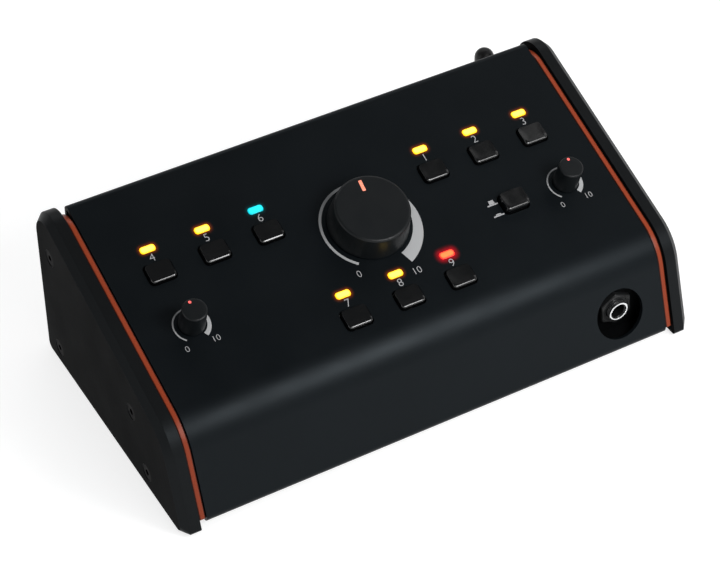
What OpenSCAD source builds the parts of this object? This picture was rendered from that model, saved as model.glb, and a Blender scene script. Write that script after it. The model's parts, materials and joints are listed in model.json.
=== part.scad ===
// Desktop studio monitor controller: a bent cover between two thick side cheeks,
// with push buttons, three dials, a phones socket and line sockets at the back.
// Millimetres. +Z up, front towards -Y, origin at the centre of the base on the table.

/* [Case] */
// Width of the bent cover between its side edges
body_w = 227; // [215:0.5:260]
// Slope of the top panel, up towards the back
top_slope = 19.4; // [15:0.1:22]
// Lean of the front face, back from upright
front_lean = 19.2; // [14:0.1:22]
// Height of the sharp ridge where top and front would meet, above the table
ridge_z = 44.6; // [43:0.1:52]
// Length of the front face from the ridge to its lower edge
front_len = 44.5; // [43.5:0.1:45]
// Distance from the ridge to the back of the cover
cover_depth = 110.6; // [108:0.1:118]
// Outer radius of the bend between top and front
ridge_r = 23; // [16:0.5:26]
// Outer radius of the small bends of the cover
edge_r = 3; // [2.6:0.1:4]
// Thickness of the cover, chassis and rear panel sheet
sheet_t = 2; // [1.5:0.1:2.2]
// Depth of the lip that the cover folds down at the back
rear_lip = 10; // [8:0.5:14]
// Depth of the lip that the cover folds in underneath
base_lip = 16; // [14:0.5:20]
// Clearance between nested sheet parts
sheet_gap = 0.2; // [0.1:0.05:0.4]

/* [Cheeks] */
// Thickness of each side cheek
cheek_t = 8; // [7:0.5:12]
// Height of the cheeks over the cover surface
cheek_proud = 1; // [0:0.1:2]
// Width of the chamfer round the outer face
cheek_chamfer = 3; // [1:0.1:4]
// Height of the cheeks above the table
cheek_clear = 1.5; // [0.5:0.1:2]
// Reach of the cheeks behind the back of the cover
cheek_reach = 8.4; // [6.4:0.1:9]
// Radius of the upper back corner of the cheeks
cheek_rear_r = 13.6; // [8:0.1:18]
// Radius of the lower corners of the cheeks
cheek_foot_r = 1.5; // [1:0.5:3]
// Thickness of the coloured plate between cheek and body
accent_t = 3.5; // [2.5:0.5:5]
// Depth of the accent plate edge below the cover surface
accent_inset = 0.3; // [0:0.1:1]
// Reach of the accent plates behind the back of the cover
accent_reach = 5.4; // [1.4:0.1:6.4]
// Height of the accent plate above the table
accent_clear = 5; // [4:0.1:7]
// Radius of the lower corners of the accent plates
accent_foot_r = 1; // [0.5:0.5:3]
// Bevel along the visible edges of the accent plate
accent_bevel = 1; // [0.3:0.1:1.2]

/* [Fasteners and feet] */
// Shank diameter of the cheek screws
cheek_screw_d = 4; // [3:0.5:5]
// Head diameter of the cheek screws
cheek_head_d = 7.6; // [7:0.1:9]
// Shank diameter of the case screws
case_screw_d = 3; // [2.5:0.5:3]
// Head diameter of the case screws
case_head_d = 5.4; // [4.8:0.1:6]
// Diameter of each rubber foot
foot_d = 14; // [10:0.5:18]
// Distance of the feet from the side edges of the cover
foot_side = 24; // [18:0.5:30]

/* [Panel layout] */
// Distance from the ridge up the slope to the upper row of lamps
upper_row = 82.7; // [80:0.1:86]
// Distance from the ridge up the slope to the lower row of lamps
lower_row = 31.4; // [31:0.1:34]
// Distance from the ridge up the slope to the dials
dial_row = 43.2; // [42:0.1:46]
// Distance from the ridge up the slope to the main dial
main_row = 57.9; // [56:0.1:60]
// Spacing of neighbouring buttons
button_pitch = 25.4; // [24:0.1:27]
// Distance of the middle column of a side group from the centre line
group_x = 65.9; // [64:0.1:68]
// Distance of each button below its lamp
lamp_to_button = 12.2; // [11.5:0.1:13]
// Sideways place of the dials against the lamp columns
dial_shift = 0.9; // [-1:0.1:1.5]

/* [Buttons and lamps] */
// Width of a button cap
cap_w = 11.5; // [9:0.1:12.5]
// Length of a button cap along the slope
cap_l = 9; // [8:0.1:10]
// Corner radius of a button cap
cap_r = 1.6; // [0.5:0.1:2.5]
// Height of a button cap over the panel
cap_h = 1.6; // [1.3:0.1:2.5]
// Height of the latching cap over the panel when it is out
latch_h = 3.4; // [3:0.1:5]
// Gap between a cap and the edge of its cut-out
cap_gap = 0.7; // [0.4:0.1:0.9]
// Travel of the momentary buttons
press_travel = 1.2; // [0.5:0.1:1.3]
// Travel of the latching button
latch_travel = 2.5; // [2:0.1:2.8]
// Width of a lamp window
lamp_w = 7; // [5:0.1:8]
// Length of a lamp window along the slope
lamp_l = 3.4; // [2.5:0.1:4]

/* [Dials] */
// Base diameter of the main dial
main_d = 35.8; // [32:0.1:38]
// Top diameter of the main dial
main_top_d = 33; // [28:0.1:35]
// Height of the main dial over the panel
main_h = 12.9; // [11:0.1:18]
// Base diameter of a small dial
small_d = 11.4; // [10.8:0.1:13]
// Top diameter of a small dial
small_top_d = 10.7; // [9:0.1:12]
// Height of a small dial over the panel
small_h = 12.8; // [10:0.1:16]
// Diameter of the dial shafts
shaft_d = 6; // [5:0.1:6.3]
// Running clearance of a shaft in its bushing, on the radius
shaft_fit = 0.05; // [0.02:0.01:0.1]
// Clearance under the dials
dial_gap = 0.6; // [0.4:0.1:1]

/* [Sockets] */
// Diameter of the hole in the front face for the phones socket
phones_hole_d = 23.5; // [21.5:0.1:25]
// Distance from the ridge down the front face to that hole
phones_row = 25.5; // [25:0.1:26.5]
// Distance of that hole from the side edge of the cover
phones_side = 22.2; // [20:0.1:26]
// Outer diameter of a 6.35 mm socket nose
nose_d = 9.7; // [9.4:0.1:10]
// Bore of a 6.35 mm socket
jack_bore = 6.6; // [6.5:0.05:6.9]
// Bore of the 3.5 mm socket
aux_bore = 3.7; // [3.65:0.05:3.9]
// Spacing of the line sockets across the back
line_pitch = 26; // [20:0.5:28]
// Height of the lower row of line sockets above the table
line_low = 22; // [20:0.5:24]
// Spacing of the two rows of line sockets
line_rows = 22; // [18:0.5:24]

/* [Antenna] */
// Diameter of the antenna stub
antenna_d = 9; // [8:0.1:10]
// Length of the antenna from its hinge to its tip
antenna_len = 44; // [30:0.5:46]
// Distance of the antenna from the side edge of the cover
antenna_side = 10.5; // [9.5:0.1:14]
// Clearance between the swung antenna and the back of the cheeks
antenna_gap = 1.4; // [1:0.1:4]

/* [Hidden] */
$fn = 64;

arc_step = 5;
overcut = 1;
skin = 0.02;
half_w = body_w / 2;
wall_in = half_w - sheet_t;
cheek_in = half_w + accent_t;
cheek_out = cheek_in + cheek_t;
cheek_z = cheek_clear;

// outward normals of the top and front, in (y, z)
top_n = [-sin(top_slope), cos(top_slope)];
front_n = [-cos(front_lean), sin(front_lean)];

function unit(a) = a / norm(a);
function corner_half(a, b, c) = acos(unit(a - b) * unit(c - b)) / 2;
function fillet_centre(a, b, c, r) = b + unit(unit(a - b) + unit(c - b)) * r / sin(corner_half(a, b, c));
function turn(a) = a > 180 ? a - 360 : a < -180 ? a + 360 : a;

// points of the rounded corner at b between a and c
function arc_corner(a, b, c, r) = r <= 0 ? [b] :
    let (reach = r / tan(corner_half(a, b, c)),
        o = fillet_centre(a, b, c, r),
        s = b + unit(a - b) * reach - o,
        e = b + unit(c - b) * reach - o,
        a0 = atan2(s[1], s[0]),
        sweep = turn(atan2(e[1], e[0]) - a0),
        n = ceil(abs(sweep) / arc_step))
    [for (k = [0 : n]) o + r * [cos(a0 + sweep * k / n), sin(a0 + sweep * k / n)]];

// closed outline through corners p with corner radii r
function rounded_ring(p, r) = [for (i = [0 : len(p) - 1])
    each arc_corner(p[(i + len(p) - 1) % len(p)], p[i], p[(i + 1) % len(p)], r[i])];

// open outline through corners p with corner radii r, sharp at its ends
function rounded_path(p, r) = concat([p[0]],
    [for (i = [1 : len(p) - 2]) each arc_corner(p[i - 1], p[i], p[i + 1], r[i])],
    [p[len(p) - 1]]);

// the open path p moved t to its right
function right_of(a, b) = [unit(b - a)[1], -unit(b - a)[0]];
function inset_path(p, t) = [for (i = [0 : len(p) - 1])
    let (n1 = i > 0 ? right_of(p[i - 1], p[i]) : right_of(p[0], p[1]),
        n2 = i < len(p) - 1 ? right_of(p[i], p[i + 1]) : n1)
    p[i] + t * (n1 + n2) / (1 + n1 * n2)];
function reversed(p) = [for (i = [len(p) - 1 : -1 : 0]) p[i]];

// section of a sheet of thickness t bent along p, with outer bend radii r
function sheet_section(p, r, t) =
    concat(rounded_path(p, r), reversed(rounded_path(inset_path(p, t), [for (k = r) max(k - t, 0)])));

// the case in (y, z), measured from the ridge: h is the height over the cover surface
function ridge_rel(h) = h * (top_n + front_n) / (1 + top_n * front_n);
function front_rel(z, h) = [ridge_rel(h)[0] - (ridge_rel(h)[1] - z) * tan(front_lean), z];
function top_rel(y, h) = [y, ridge_rel(h)[1] + (y - ridge_rel(h)[0]) * tan(top_slope)];

// the origin lies midway between the foremost and the rearmost point
cheek_toe = front_rel(cheek_z - ridge_z, cheek_proud);
cheek_toe_centre = fillet_centre(ridge_rel(cheek_proud), cheek_toe, cheek_toe + [1, 0], cheek_foot_r);
foremost = cheek_toe_centre[0] - cheek_foot_r;
knuckle_r = antenna_d / 2 + 0.1;
hinge_depth = cover_depth + cheek_reach + antenna_gap + knuckle_r;
rearmost = hinge_depth + knuckle_r;
ridge_y = -(foremost + rearmost) / 2;
ridge = [ridge_y, ridge_z];

function at_front(z, h) = [ridge_y, 0] + front_rel(z - ridge_z, h) + [0, ridge_z];
function at_top(y_rel, h) = ridge + top_rel(y_rel, h);
function ridge_at(h) = ridge + ridge_rel(h);

back_y = ridge_y + cover_depth;
cover_z = ridge_z - front_len * cos(front_lean);
floor_z = cover_z + sheet_t;
panel_out_y = back_y - sheet_t - sheet_gap;
panel_in_y = panel_out_y - sheet_t;
wall_top = -sheet_t - sheet_gap;

// move into a frame on the top panel: x across, y up the slope, z out of the panel
module on_top(x, d) {
    translate([x, ridge_y + d * cos(top_slope), ridge_z + d * sin(top_slope)])
        rotate([top_slope, 0, 0]) children();
}

// the same on the front face, with y up the face
module on_front(x, d) {
    translate([x, ridge_y - d * sin(front_lean), ridge_z - d * cos(front_lean)])
        rotate([90 - front_lean, 0, 0]) children();
}

// extrude a (y, z) section from x0 to x1
module along_x(x0, x1) {
    translate([x0, 0, 0]) rotate([90, 0, 90]) linear_extrude(x1 - x0) children();
}

// a cylinder from y0 to y1 along Y
module along_y(x, z, y0, y1, r) {
    translate([x, y1, z]) rotate([90, 0, 0]) cylinder(h = y1 - y0, r = r);
}

// a block centred in x and y that stands on z0
module block(w, l, z0, z1) {
    translate([-w / 2, -l / 2, z0]) cube([w, l, z1 - z0]);
}

// a rounded rectangle w by l, centred
module rounded_rect(w, l, r) {
    hull() for (sx = [-1, 1], sy = [-1, 1])
        translate([sx * (w / 2 - r), sy * (l / 2 - r)]) circle(r, $fn = 32);
}

// the same outline from true arcs, for cut-outs
module slot_cut(w, l, r, z0, z1) {
    translate([0, 0, z0]) linear_extrude(z1 - z0) union() {
        square([w - 2 * r, l], center = true);
        square([w, l - 2 * r], center = true);
        for (sx = [-1, 1], sy = [-1, 1])
            translate([sx * (w / 2 - r), sy * (l / 2 - r)]) circle(r, $fn = 32);
    }
}

// ---- the panel layout

group_left = [for (k = [-1 : 1]) -group_x + k * button_pitch];
group_right = [for (k = [-1 : 1]) group_x + k * button_pitch];
group_lower = [for (k = [-1 : 1]) k * button_pitch];
upper_places = [for (x = concat(group_left, group_right)) [x, upper_row]];
lower_places = [for (x = group_lower) [x, lower_row]];
lamp_places = concat(upper_places, lower_places);
latch_shift = -0.2;
latch_place = [group_x + latch_shift, dial_row];
button_places = concat([for (p = lamp_places) [p[0], p[1] - lamp_to_button]], [latch_place]);
left_dial = [-group_x - button_pitch + dial_shift, dial_row];
right_dial = [group_x + button_pitch + dial_shift, dial_row];
main_dial = [dial_shift, main_row];

// ---- cover: top, front and two lips bent from one sheet

bushing_d = 7;
bushing_hole_d = 7.4;
collar_hole_d = 7.2;
cut_r = cap_r + cap_gap;
lamp_r = 1.3;

cover_path = [[ridge_y + front_rel(cover_z - ridge_z, 0)[0] + base_lip, cover_z],
    at_front(cover_z, 0), ridge, at_top(cover_depth, 0),
    at_top(cover_depth, 0) - [0, rear_lip]];
cover_radii = [0, edge_r, ridge_r, edge_r, 0];

phones_hole_x = half_w - phones_side;

case_screw_x = [for (k = [-1.5 : 1.5]) k * body_w / 4.6];
case_screw_clear = 0.2;
base_screw_y = cover_path[0][0] - base_lip / 3;
lip_screw_z = cover_path[4][1] + rear_lip / 2.6;
flange_l = 14;
flange_screw_y = panel_in_y - flange_l / 2;
case_head_l = (case_head_d - case_screw_d) / 2;

module cover() {
    color([0.10, 0.115, 0.125]) difference() {
        along_x(-half_w, half_w) polygon(sheet_section(cover_path, cover_radii, sheet_t));
        for (p = button_places)
            on_top(p[0], p[1])
                slot_cut(cap_w + 2 * cap_gap, cap_l + 2 * cap_gap, cut_r, -sheet_t - overcut, overcut);
        for (p = lamp_places)
            on_top(p[0], p[1]) slot_cut(lamp_w, lamp_l, lamp_r, -sheet_t - overcut, overcut);
        on_top(main_dial[0], main_dial[1])
            translate([0, 0, -sheet_t - overcut]) cylinder(h = sheet_t + 2 * overcut, d = bushing_hole_d);
        for (p = [left_dial, right_dial])
            on_top(p[0], p[1])
                translate([0, 0, -sheet_t - overcut]) cylinder(h = sheet_t + 2 * overcut, d = collar_hole_d);
        on_front(phones_hole_x, phones_row)
            translate([0, 0, -3 * sheet_t]) cylinder(h = 4 * sheet_t, d = phones_hole_d);
        for (x = case_screw_x) {
            translate([x, base_screw_y, cover_z - overcut])
                cylinder(h = sheet_t + 2 * overcut, d = case_screw_d + 2 * case_screw_clear);
            along_y(x, lip_screw_z, back_y - sheet_t - overcut, back_y + overcut,
                case_screw_d / 2 + case_screw_clear);
            translate([x, back_y + skin, lip_screw_z]) rotate([90, 0, 0])
                cylinder(h = case_head_l, d1 = case_head_d + 2 * case_screw_clear, d2 = case_screw_d);
        }
    }
}

// ---- chassis: floor with two side walls that carry the cheeks

// the floor ends behind the inner bend and the leaning front of the cover
inner_bend_l = (edge_r - sheet_t) / tan((90 - front_lean) / 2);
floor_front_y = max(at_front(floor_z, -sheet_t)[0] + inner_bend_l + sheet_gap,
    at_front(floor_z + sheet_t, wall_top)[0]);

screw_rear = 6.6;
screw_drop = 19.6;
screw_low = 9.8;
screw_front = [29.5, 18.2];
function upper_screw(d) = [ridge_y + d, at_top(d, 0)[1] - screw_drop];
cheek_screw_places = [upper_screw(cover_depth - screw_rear), [back_y - screw_rear, screw_low],
    upper_screw(screw_front[0]), [ridge_y + screw_front[1], screw_low]];
press_nut_d = 5.6;
press_nut_l = 5;
nut_clear = 0.5;

module wall_section() {
    polygon(rounded_ring([[floor_front_y, floor_z], ridge_at(wall_top),
        [panel_in_y, at_top(panel_in_y - ridge_y, wall_top)[1]], [panel_in_y, floor_z]],
        [0, ridge_r + wall_top, 0, 0]));
}

module chassis() {
    color([0.09, 0.095, 0.10]) difference() {
        union() {
            translate([-half_w, floor_front_y, floor_z])
                cube([2 * half_w, panel_out_y - floor_front_y, sheet_t]);
            along_x(-half_w, -wall_in) wall_section();
            along_x(wall_in, half_w) wall_section();
        }
        for (p = cheek_screw_places, s = [-1, 1])
            translate([s * (half_w - sheet_t / 2), p[0], p[1]]) rotate([0, 90, 0])
                cylinder(h = 2 * sheet_t, d = press_nut_d, center = true);
        for (x = case_screw_x) {
            translate([x, base_screw_y, floor_z - overcut])
                cylinder(h = sheet_t + 2 * overcut, d = case_screw_d);
            translate([x, flange_screw_y, floor_z - overcut])
                cylinder(h = sheet_t + 2 * overcut, d = case_screw_d + 2 * case_screw_clear);
        }
    }
}

module press_nuts() {
    color([0.75, 0.74, 0.70]) for (p = cheek_screw_places, s = [-1, 1])
        translate([s * half_w, p[0], p[1]]) rotate([0, -90 * s, 0]) difference() {
            cylinder(h = press_nut_l, d = press_nut_d);
            translate([0, 0, -overcut]) cylinder(h = press_nut_l + 2 * overcut, d = cheek_screw_d);
        }
}

// ---- rear panel: a plate with a flange that lies on the floor

line_shift = 5;
line_columns = [for (k = [-1.5 : 1.5]) line_shift + k * line_pitch];
line_places = [for (x = line_columns, k = [0 : 1]) [x, line_low + k * line_rows]];
antenna_x = half_w - antenna_side;
antenna_z = 28.6;
aux_to_antenna = 25;
power_side = 23.5;
power_to_dc = 30;
aux_place = [antenna_x - aux_to_antenna, line_low + line_rows / 2];
dc_place = [power_side + power_to_dc - half_w, line_low];
power_place = [power_side - half_w, line_low + 2];
power_w = 13.4;
power_l = 19.4;
dc_nose_d = 8;
aux_nose_d = 6;
antenna_nose_d = 6.2;
panel_top_z = at_top(panel_in_y - ridge_y, wall_top)[1];
thread_gap = 0.15;
nut_room = 2;
flange_half = half_w - press_nut_l - nut_room;

module rear_panel() {
    color([0.13, 0.14, 0.15]) difference() {
        union() {
            translate([-wall_in + sheet_gap, panel_in_y, floor_z + sheet_t])
                cube([2 * (wall_in - sheet_gap), sheet_t, panel_top_z - floor_z - sheet_t]);
            translate([-flange_half, panel_in_y - flange_l, floor_z + sheet_t])
                cube([2 * flange_half, flange_l + sheet_t, sheet_t]);
        }
        for (p = cheek_screw_places, s = [-1, 1])
            translate([s * half_w, p[0], p[1]]) rotate([0, -90 * s, 0])
                cylinder(h = press_nut_l + nut_clear, d = press_nut_d + 2 * nut_clear);
        for (p = line_places)
            along_y(p[0], p[1], panel_in_y - overcut, panel_out_y + overcut, nose_d / 2 + thread_gap);
        along_y(aux_place[0], aux_place[1], panel_in_y - overcut, panel_out_y + overcut,
            aux_nose_d / 2 + thread_gap);
        along_y(dc_place[0], dc_place[1], panel_in_y - overcut, panel_out_y + overcut,
            dc_nose_d / 2 + thread_gap);
        along_y(antenna_x, antenna_z, panel_in_y - overcut, panel_out_y + overcut,
            antenna_nose_d / 2 + thread_gap);
        translate([power_place[0] - power_w / 2 - sheet_gap, panel_in_y - overcut,
            power_place[1] - power_l / 2 - sheet_gap])
            cube([power_w + 2 * sheet_gap, sheet_t + 2 * overcut, power_l + 2 * sheet_gap]);
        for (x = case_screw_x) {
            translate([x, flange_screw_y, floor_z]) cylinder(h = 3 * sheet_t, d = case_screw_d);
            along_y(x, lip_screw_z, panel_in_y - overcut, panel_out_y + overcut, case_screw_d / 2);
        }
    }
}

// ---- cheeks and accent plates

// outline of a side plate that stands h over the cover and reaches behind it, from the height foot up,
// with corner radii rr and fr, inset by k but not at the foot
function side_outline(h, reach, foot, k, rr, fr) = rounded_ring(
    [at_front(foot, h - k), ridge_at(h - k), at_top(cover_depth + reach - k, h - k),
        [back_y + reach - k, foot]],
    [fr, ridge_r + h - k, rr - k, fr]);

module cheek_blank() {
    hull() {
        along_x(cheek_in, cheek_out - cheek_chamfer)
            polygon(side_outline(cheek_proud, cheek_reach, cheek_z, 0, cheek_rear_r, cheek_foot_r));
        along_x(cheek_out - skin, cheek_out)
            polygon(side_outline(cheek_proud, cheek_reach, cheek_z, cheek_chamfer, cheek_rear_r,
                2 * cheek_foot_r));
    }
}

head_sink = 0.2;
head_l = (cheek_head_d - cheek_screw_d) / 2;
screw_clear = 0.3;

module cheek_right() {
    color([0.11, 0.12, 0.13]) difference() {
        cheek_blank();
        for (p = cheek_screw_places) translate([cheek_out, p[0], p[1]]) rotate([0, -90, 0]) {
            translate([0, 0, -overcut])
                cylinder(h = cheek_t + 2 * overcut, d = cheek_screw_d + 2 * screw_clear);
            translate([0, 0, -overcut])
                cylinder(h = overcut + head_sink, d = cheek_head_d + screw_clear);
            translate([0, 0, head_sink - skin])
                cylinder(h = head_l + screw_clear / 2, d1 = cheek_head_d + screw_clear,
                    d2 = cheek_screw_d);
        }
    }
}

module cheek_left() {
    mirror([1, 0, 0]) cheek_right();
}

module accent_right() {
    color([0.80, 0.27, 0.13]) difference() {
        hull() {
            along_x(half_w + accent_bevel, cheek_in - accent_bevel)
                polygon(side_outline(-accent_inset, accent_reach, accent_clear, 0, cheek_rear_r,
                    accent_foot_r));
            along_x(half_w, cheek_in)
                polygon(side_outline(-accent_inset, accent_reach, accent_clear, accent_bevel, cheek_rear_r,
                    accent_foot_r));
        }
        for (p = cheek_screw_places) translate([half_w - overcut, p[0], p[1]]) rotate([0, 90, 0])
            cylinder(h = accent_t + 2 * overcut, d = cheek_screw_d + 2 * screw_clear);
    }
}

module accent_left() {
    mirror([1, 0, 0]) accent_right();
}

socket_af = 2.5;
cheek_screw_l = cheek_t + accent_t + press_nut_l - 1;

// countersunk screw with a hexagon socket, head up at z = 0
module countersunk_screw(d, head_d, l, af) {
    difference() {
        union() {
            translate([0, 0, -(head_d - d) / 2]) cylinder(h = (head_d - d) / 2, d1 = d, d2 = head_d);
            translate([0, 0, -l]) cylinder(h = l, d = d);
        }
        translate([0, 0, -(head_d - d) / 2]) cylinder(h = head_d, d = af / cos(30), $fn = 6);
    }
}

module cheek_screws_right() {
    color([0.16, 0.16, 0.17]) for (p = cheek_screw_places)
        translate([cheek_out - head_sink, p[0], p[1]]) rotate([0, 90, 0])
            countersunk_screw(cheek_screw_d, cheek_head_d, cheek_screw_l, socket_af);
}

module cheek_screws_left() {
    mirror([1, 0, 0]) cheek_screws_right();
}

// ---- case screws: pan heads underneath, countersunk heads in the rear lip

pan_h = 1.8;
pan_socket = 2.2;
screw_end = 1;

// pan-head screw, head up from z = 0
module pan_screw(l) {
    difference() {
        union() {
            cylinder(h = pan_h, d = case_head_d);
            translate([0, 0, -l]) cylinder(h = l, d = case_screw_d);
        }
        translate([0, 0, pan_h / 2]) cylinder(h = pan_h, d = pan_socket, $fn = 6);
    }
}

module case_screws() {
    color([0.20, 0.20, 0.21]) for (x = case_screw_x) {
        translate([x, base_screw_y, cover_z]) rotate([180, 0, 0]) pan_screw(2 * sheet_t + screw_end);
        translate([x, flange_screw_y, floor_z]) rotate([180, 0, 0]) pan_screw(2 * sheet_t + screw_end);
        translate([x, back_y, lip_screw_z]) rotate([-90, 0, 0])
            countersunk_screw(case_screw_d, case_head_d, 2 * sheet_t + sheet_gap + screw_end, pan_socket);
    }
}

foot_gap = 2;
foot_edge = 0.8;
foot_x = half_w - foot_side;
foot_y = [cover_path[0][0] + foot_d / 2 + foot_gap, panel_in_y - flange_l - foot_d / 2 - foot_gap];

module feet() {
    color([0.08, 0.08, 0.08]) for (sx = [-1, 1], y = foot_y) translate([sx * foot_x, y, 0]) rotate_extrude()
        polygon([[0, 0], [foot_d / 2 - 2 * foot_edge, 0], [foot_d / 2 - foot_edge, foot_edge],
            [foot_d / 2, floor_z], [0, floor_z]]);
}

// ---- main board under the panel

board_h = -14;
board_t = 1.6;
board_d0 = lower_row - lamp_to_button - 5.2;
board_d1 = upper_row + 13.3;
board_margin = 7.5;
board_w = 2 * (wall_in - board_margin);

module main_board() {
    color([0.05, 0.32, 0.16]) on_top(0, 0)
        translate([-board_w / 2, board_d0, board_h - board_t]) cube([board_w, board_d1 - board_d0, board_t]);
}

standoff_d = 5;
standoff_edge = 6;
standoff_end = 4.5;
standoff_foot = 1.6;
standoff_places = [for (x = [standoff_edge - board_w / 2, button_pitch / 2, board_w / 2 - standoff_edge]) each
    [[x, board_d0 + standoff_end], [x, board_d1 - standoff_end]]];

module board_standoffs() {
    color([0.78, 0.70, 0.42]) for (p = standoff_places) on_top(p[0], p[1]) {
        translate([0, 0, board_h]) cylinder(h = -sheet_t - board_h, d = standoff_d);
        translate([0, 0, board_h - board_t - standoff_foot]) cylinder(h = standoff_foot, d = standoff_d);
    }
}

// ---- lamps: a moulded window with a flange under the cover, over a lamp body on the board

window_rise = 0.2;
window_fit = 0.05;
window_depth = 8.5;
window_flange = 0.8;
window_flange_t = 1;
lamp_body = [5, 3];
lamp_gap = 0.3;

module lamp_window(p) {
    on_top(p[0], p[1]) {
        slot_cut(lamp_w - 2 * window_fit, lamp_l - 2 * window_fit, lamp_r - window_fit,
            -window_depth, window_rise);
        block(lamp_w + 2 * window_flange, lamp_l + 2 * window_flange, -sheet_t - window_flange_t, -sheet_t);
    }
}

module amber_windows() {
    color([1.0, 0.78, 0.25]) for (k = [0, 1, 3, 4, 5, 6, 7]) lamp_window(lamp_places[k]);
}

module cyan_window() {
    color([0.20, 0.85, 0.90]) lamp_window(lamp_places[2]);
}

module red_window() {
    color([0.95, 0.20, 0.16]) lamp_window(lamp_places[8]);
}

module lamp_bodies() {
    color([0.92, 0.92, 0.88]) for (p = lamp_places) on_top(p[0], p[1])
        block(lamp_body[0], lamp_body[1], board_h, -window_depth - lamp_gap);
}

// ---- buttons: a cap with a flange under the cover and a square stem into its switch

stem_w = 3;
stem_gap = 0.3;
flange_w = 1.5;
flange_drop = 0.3;
cap_skirt = 5;
cap_step = 0.5;
cap_edge = 0.4;
switch_top = -9.2;
switch_w = 7.4;
switch_base = 0.8;
switch_wall_h = board_h + switch_base;
stem_end = switch_wall_h + press_travel + stem_gap;
latch_switch_top = -8.4;
latch_stem_end = switch_wall_h + latch_travel + stem_gap;

// h is the height of the cap over the panel, end the lower end of its stem
module push_button(p, h, end) {
    color([0.14, 0.15, 0.16]) on_top(p[0], p[1]) {
        translate([0, 0, -cap_skirt]) linear_extrude(cap_skirt + h - cap_step)
            rounded_rect(cap_w, cap_l, cap_r);
        translate([0, 0, h - cap_step]) linear_extrude(cap_step)
            rounded_rect(cap_w - 2 * cap_edge, cap_l - 2 * cap_edge, cap_r - cap_edge);
        translate([0, 0, -cap_skirt]) linear_extrude(cap_skirt - sheet_t - flange_drop)
            rounded_rect(cap_w + 2 * flange_w, cap_l + 2 * flange_w, cap_r);
        block(stem_w, stem_w, end, -cap_skirt);
    }
}

// a housing with a square well for the stem
module switch_body(p, top) {
    color([0.22, 0.22, 0.24]) on_top(p[0], p[1]) difference() {
        block(switch_w, switch_w, board_h, top);
        block(stem_w + 2 * stem_gap, stem_w + 2 * stem_gap, switch_wall_h, top + overcut);
    }
}

module button_switches() {
    for (k = [0 : 8]) switch_body(button_places[k], switch_top);
}

module latch_switch() {
    switch_body(latch_place, latch_switch_top);
}

module momentary(k) {
    push_button(button_places[k], cap_h, stem_end);
}

module latch_button() {
    push_button(latch_place, latch_h, latch_stem_end);
}

// ---- dials: potentiometer, shaft and knob

pot_body_h = 7;
shaft_floor = board_h + 1;
shaft_end = 0.3;
main_pot_w = 16;
small_pot = [10, 11.5];
collar_rim = 0.5;
collar_gap = 0.4;
bushing_top = 5;
nut_af = 10;
nut_h = 2;

module main_pot() {
    color([0.45, 0.46, 0.48]) on_top(main_dial[0], main_dial[1]) difference() {
        union() {
            block(main_pot_w, main_pot_w, board_h, board_h + pot_body_h);
            translate([0, 0, board_h]) cylinder(h = bushing_top - board_h, d = bushing_d);
        }
        translate([0, 0, shaft_floor])
            cylinder(h = bushing_top - shaft_floor + overcut, r = shaft_d / 2 + shaft_fit);
    }
}

module main_pot_nut() {
    color([0.72, 0.72, 0.70]) on_top(main_dial[0], main_dial[1]) difference() {
        cylinder(h = nut_h, d = nut_af / cos(30), $fn = 6);
        translate([0, 0, -overcut]) cylinder(h = nut_h + 2 * overcut, d = bushing_d);
    }
}

module small_pot(p) {
    color([0.30, 0.31, 0.33]) on_top(p[0], p[1]) difference() {
        union() {
            block(small_pot[0], small_pot[1], board_h, board_h + pot_body_h);
            translate([0, 0, board_h])
                cylinder(h = -sheet_t - collar_gap - board_h, d = collar_hole_d + 2 * collar_rim);
        }
        translate([0, 0, shaft_floor])
            cylinder(h = -shaft_floor, r = shaft_d / 2 + shaft_fit);
    }
}

module shaft(p, top) {
    color([0.75, 0.75, 0.76]) on_top(p[0], p[1])
        translate([0, 0, shaft_floor + shaft_end]) cylinder(h = top - shaft_floor - shaft_end, d = shaft_d);
}

knob_wall = 2;
knob_round = 0.8;
knob_foot = 0.3;
knob_rim = 2.5;
nut_room_h = 0.5;
small_recess = [0.8, 1];

// a turned knob with a recess for the bushing nut and a blind bore for the shaft
module knob(p, d, top_d, h, recess_r, recess_h) {
    r0 = d / 2;
    r1 = top_d / 2;
    color([0.13, 0.14, 0.15]) on_top(p[0], p[1]) rotate_extrude() polygon([
        [shaft_d / 2, recess_h], [recess_r, recess_h], [recess_r, dial_gap],
        [r0 - knob_foot, dial_gap], [r0, dial_gap + knob_foot], [r1, h - knob_round],
        [r1 - knob_round * 0.3, h - knob_round * 0.3], [r1 - knob_round, h],
        [0, h], [0, h - knob_wall], [shaft_d / 2, h - knob_wall]]);
}

module main_knob() {
    knob(main_dial, main_d, main_top_d, main_h, main_top_d / 2 - knob_rim, bushing_top + nut_room_h);
}

module small_knob(p) {
    knob(p, small_d, small_top_d, small_h, shaft_d / 2 + small_recess[0], dial_gap + small_recess[1]);
}

module left_knob() {
    small_knob(left_dial);
}

module right_knob() {
    small_knob(right_dial);
}

pointer_w = 1.5;
pointer_l = 5.6;
pointer_edge = 2.2;
pointer_rise = 0.06;
dot_d = 1.3;
dot_edge = 0.9;

module main_pointer() {
    color([0.93, 0.47, 0.35]) on_top(main_dial[0], main_dial[1])
        translate([-pointer_w / 2, main_top_d / 2 - pointer_l - pointer_edge, main_h])
            cube([pointer_w, pointer_l, pointer_rise]);
}

module knob_dot(p) {
    color([0.93, 0.47, 0.35]) on_top(p[0], p[1])
        translate([0, small_top_d / 2 - dot_d / 2 - dot_edge, small_h])
            cylinder(h = pointer_rise, d = dot_d, $fn = 24);
}

// ---- phones socket on a bracket behind the hole in the front

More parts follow.
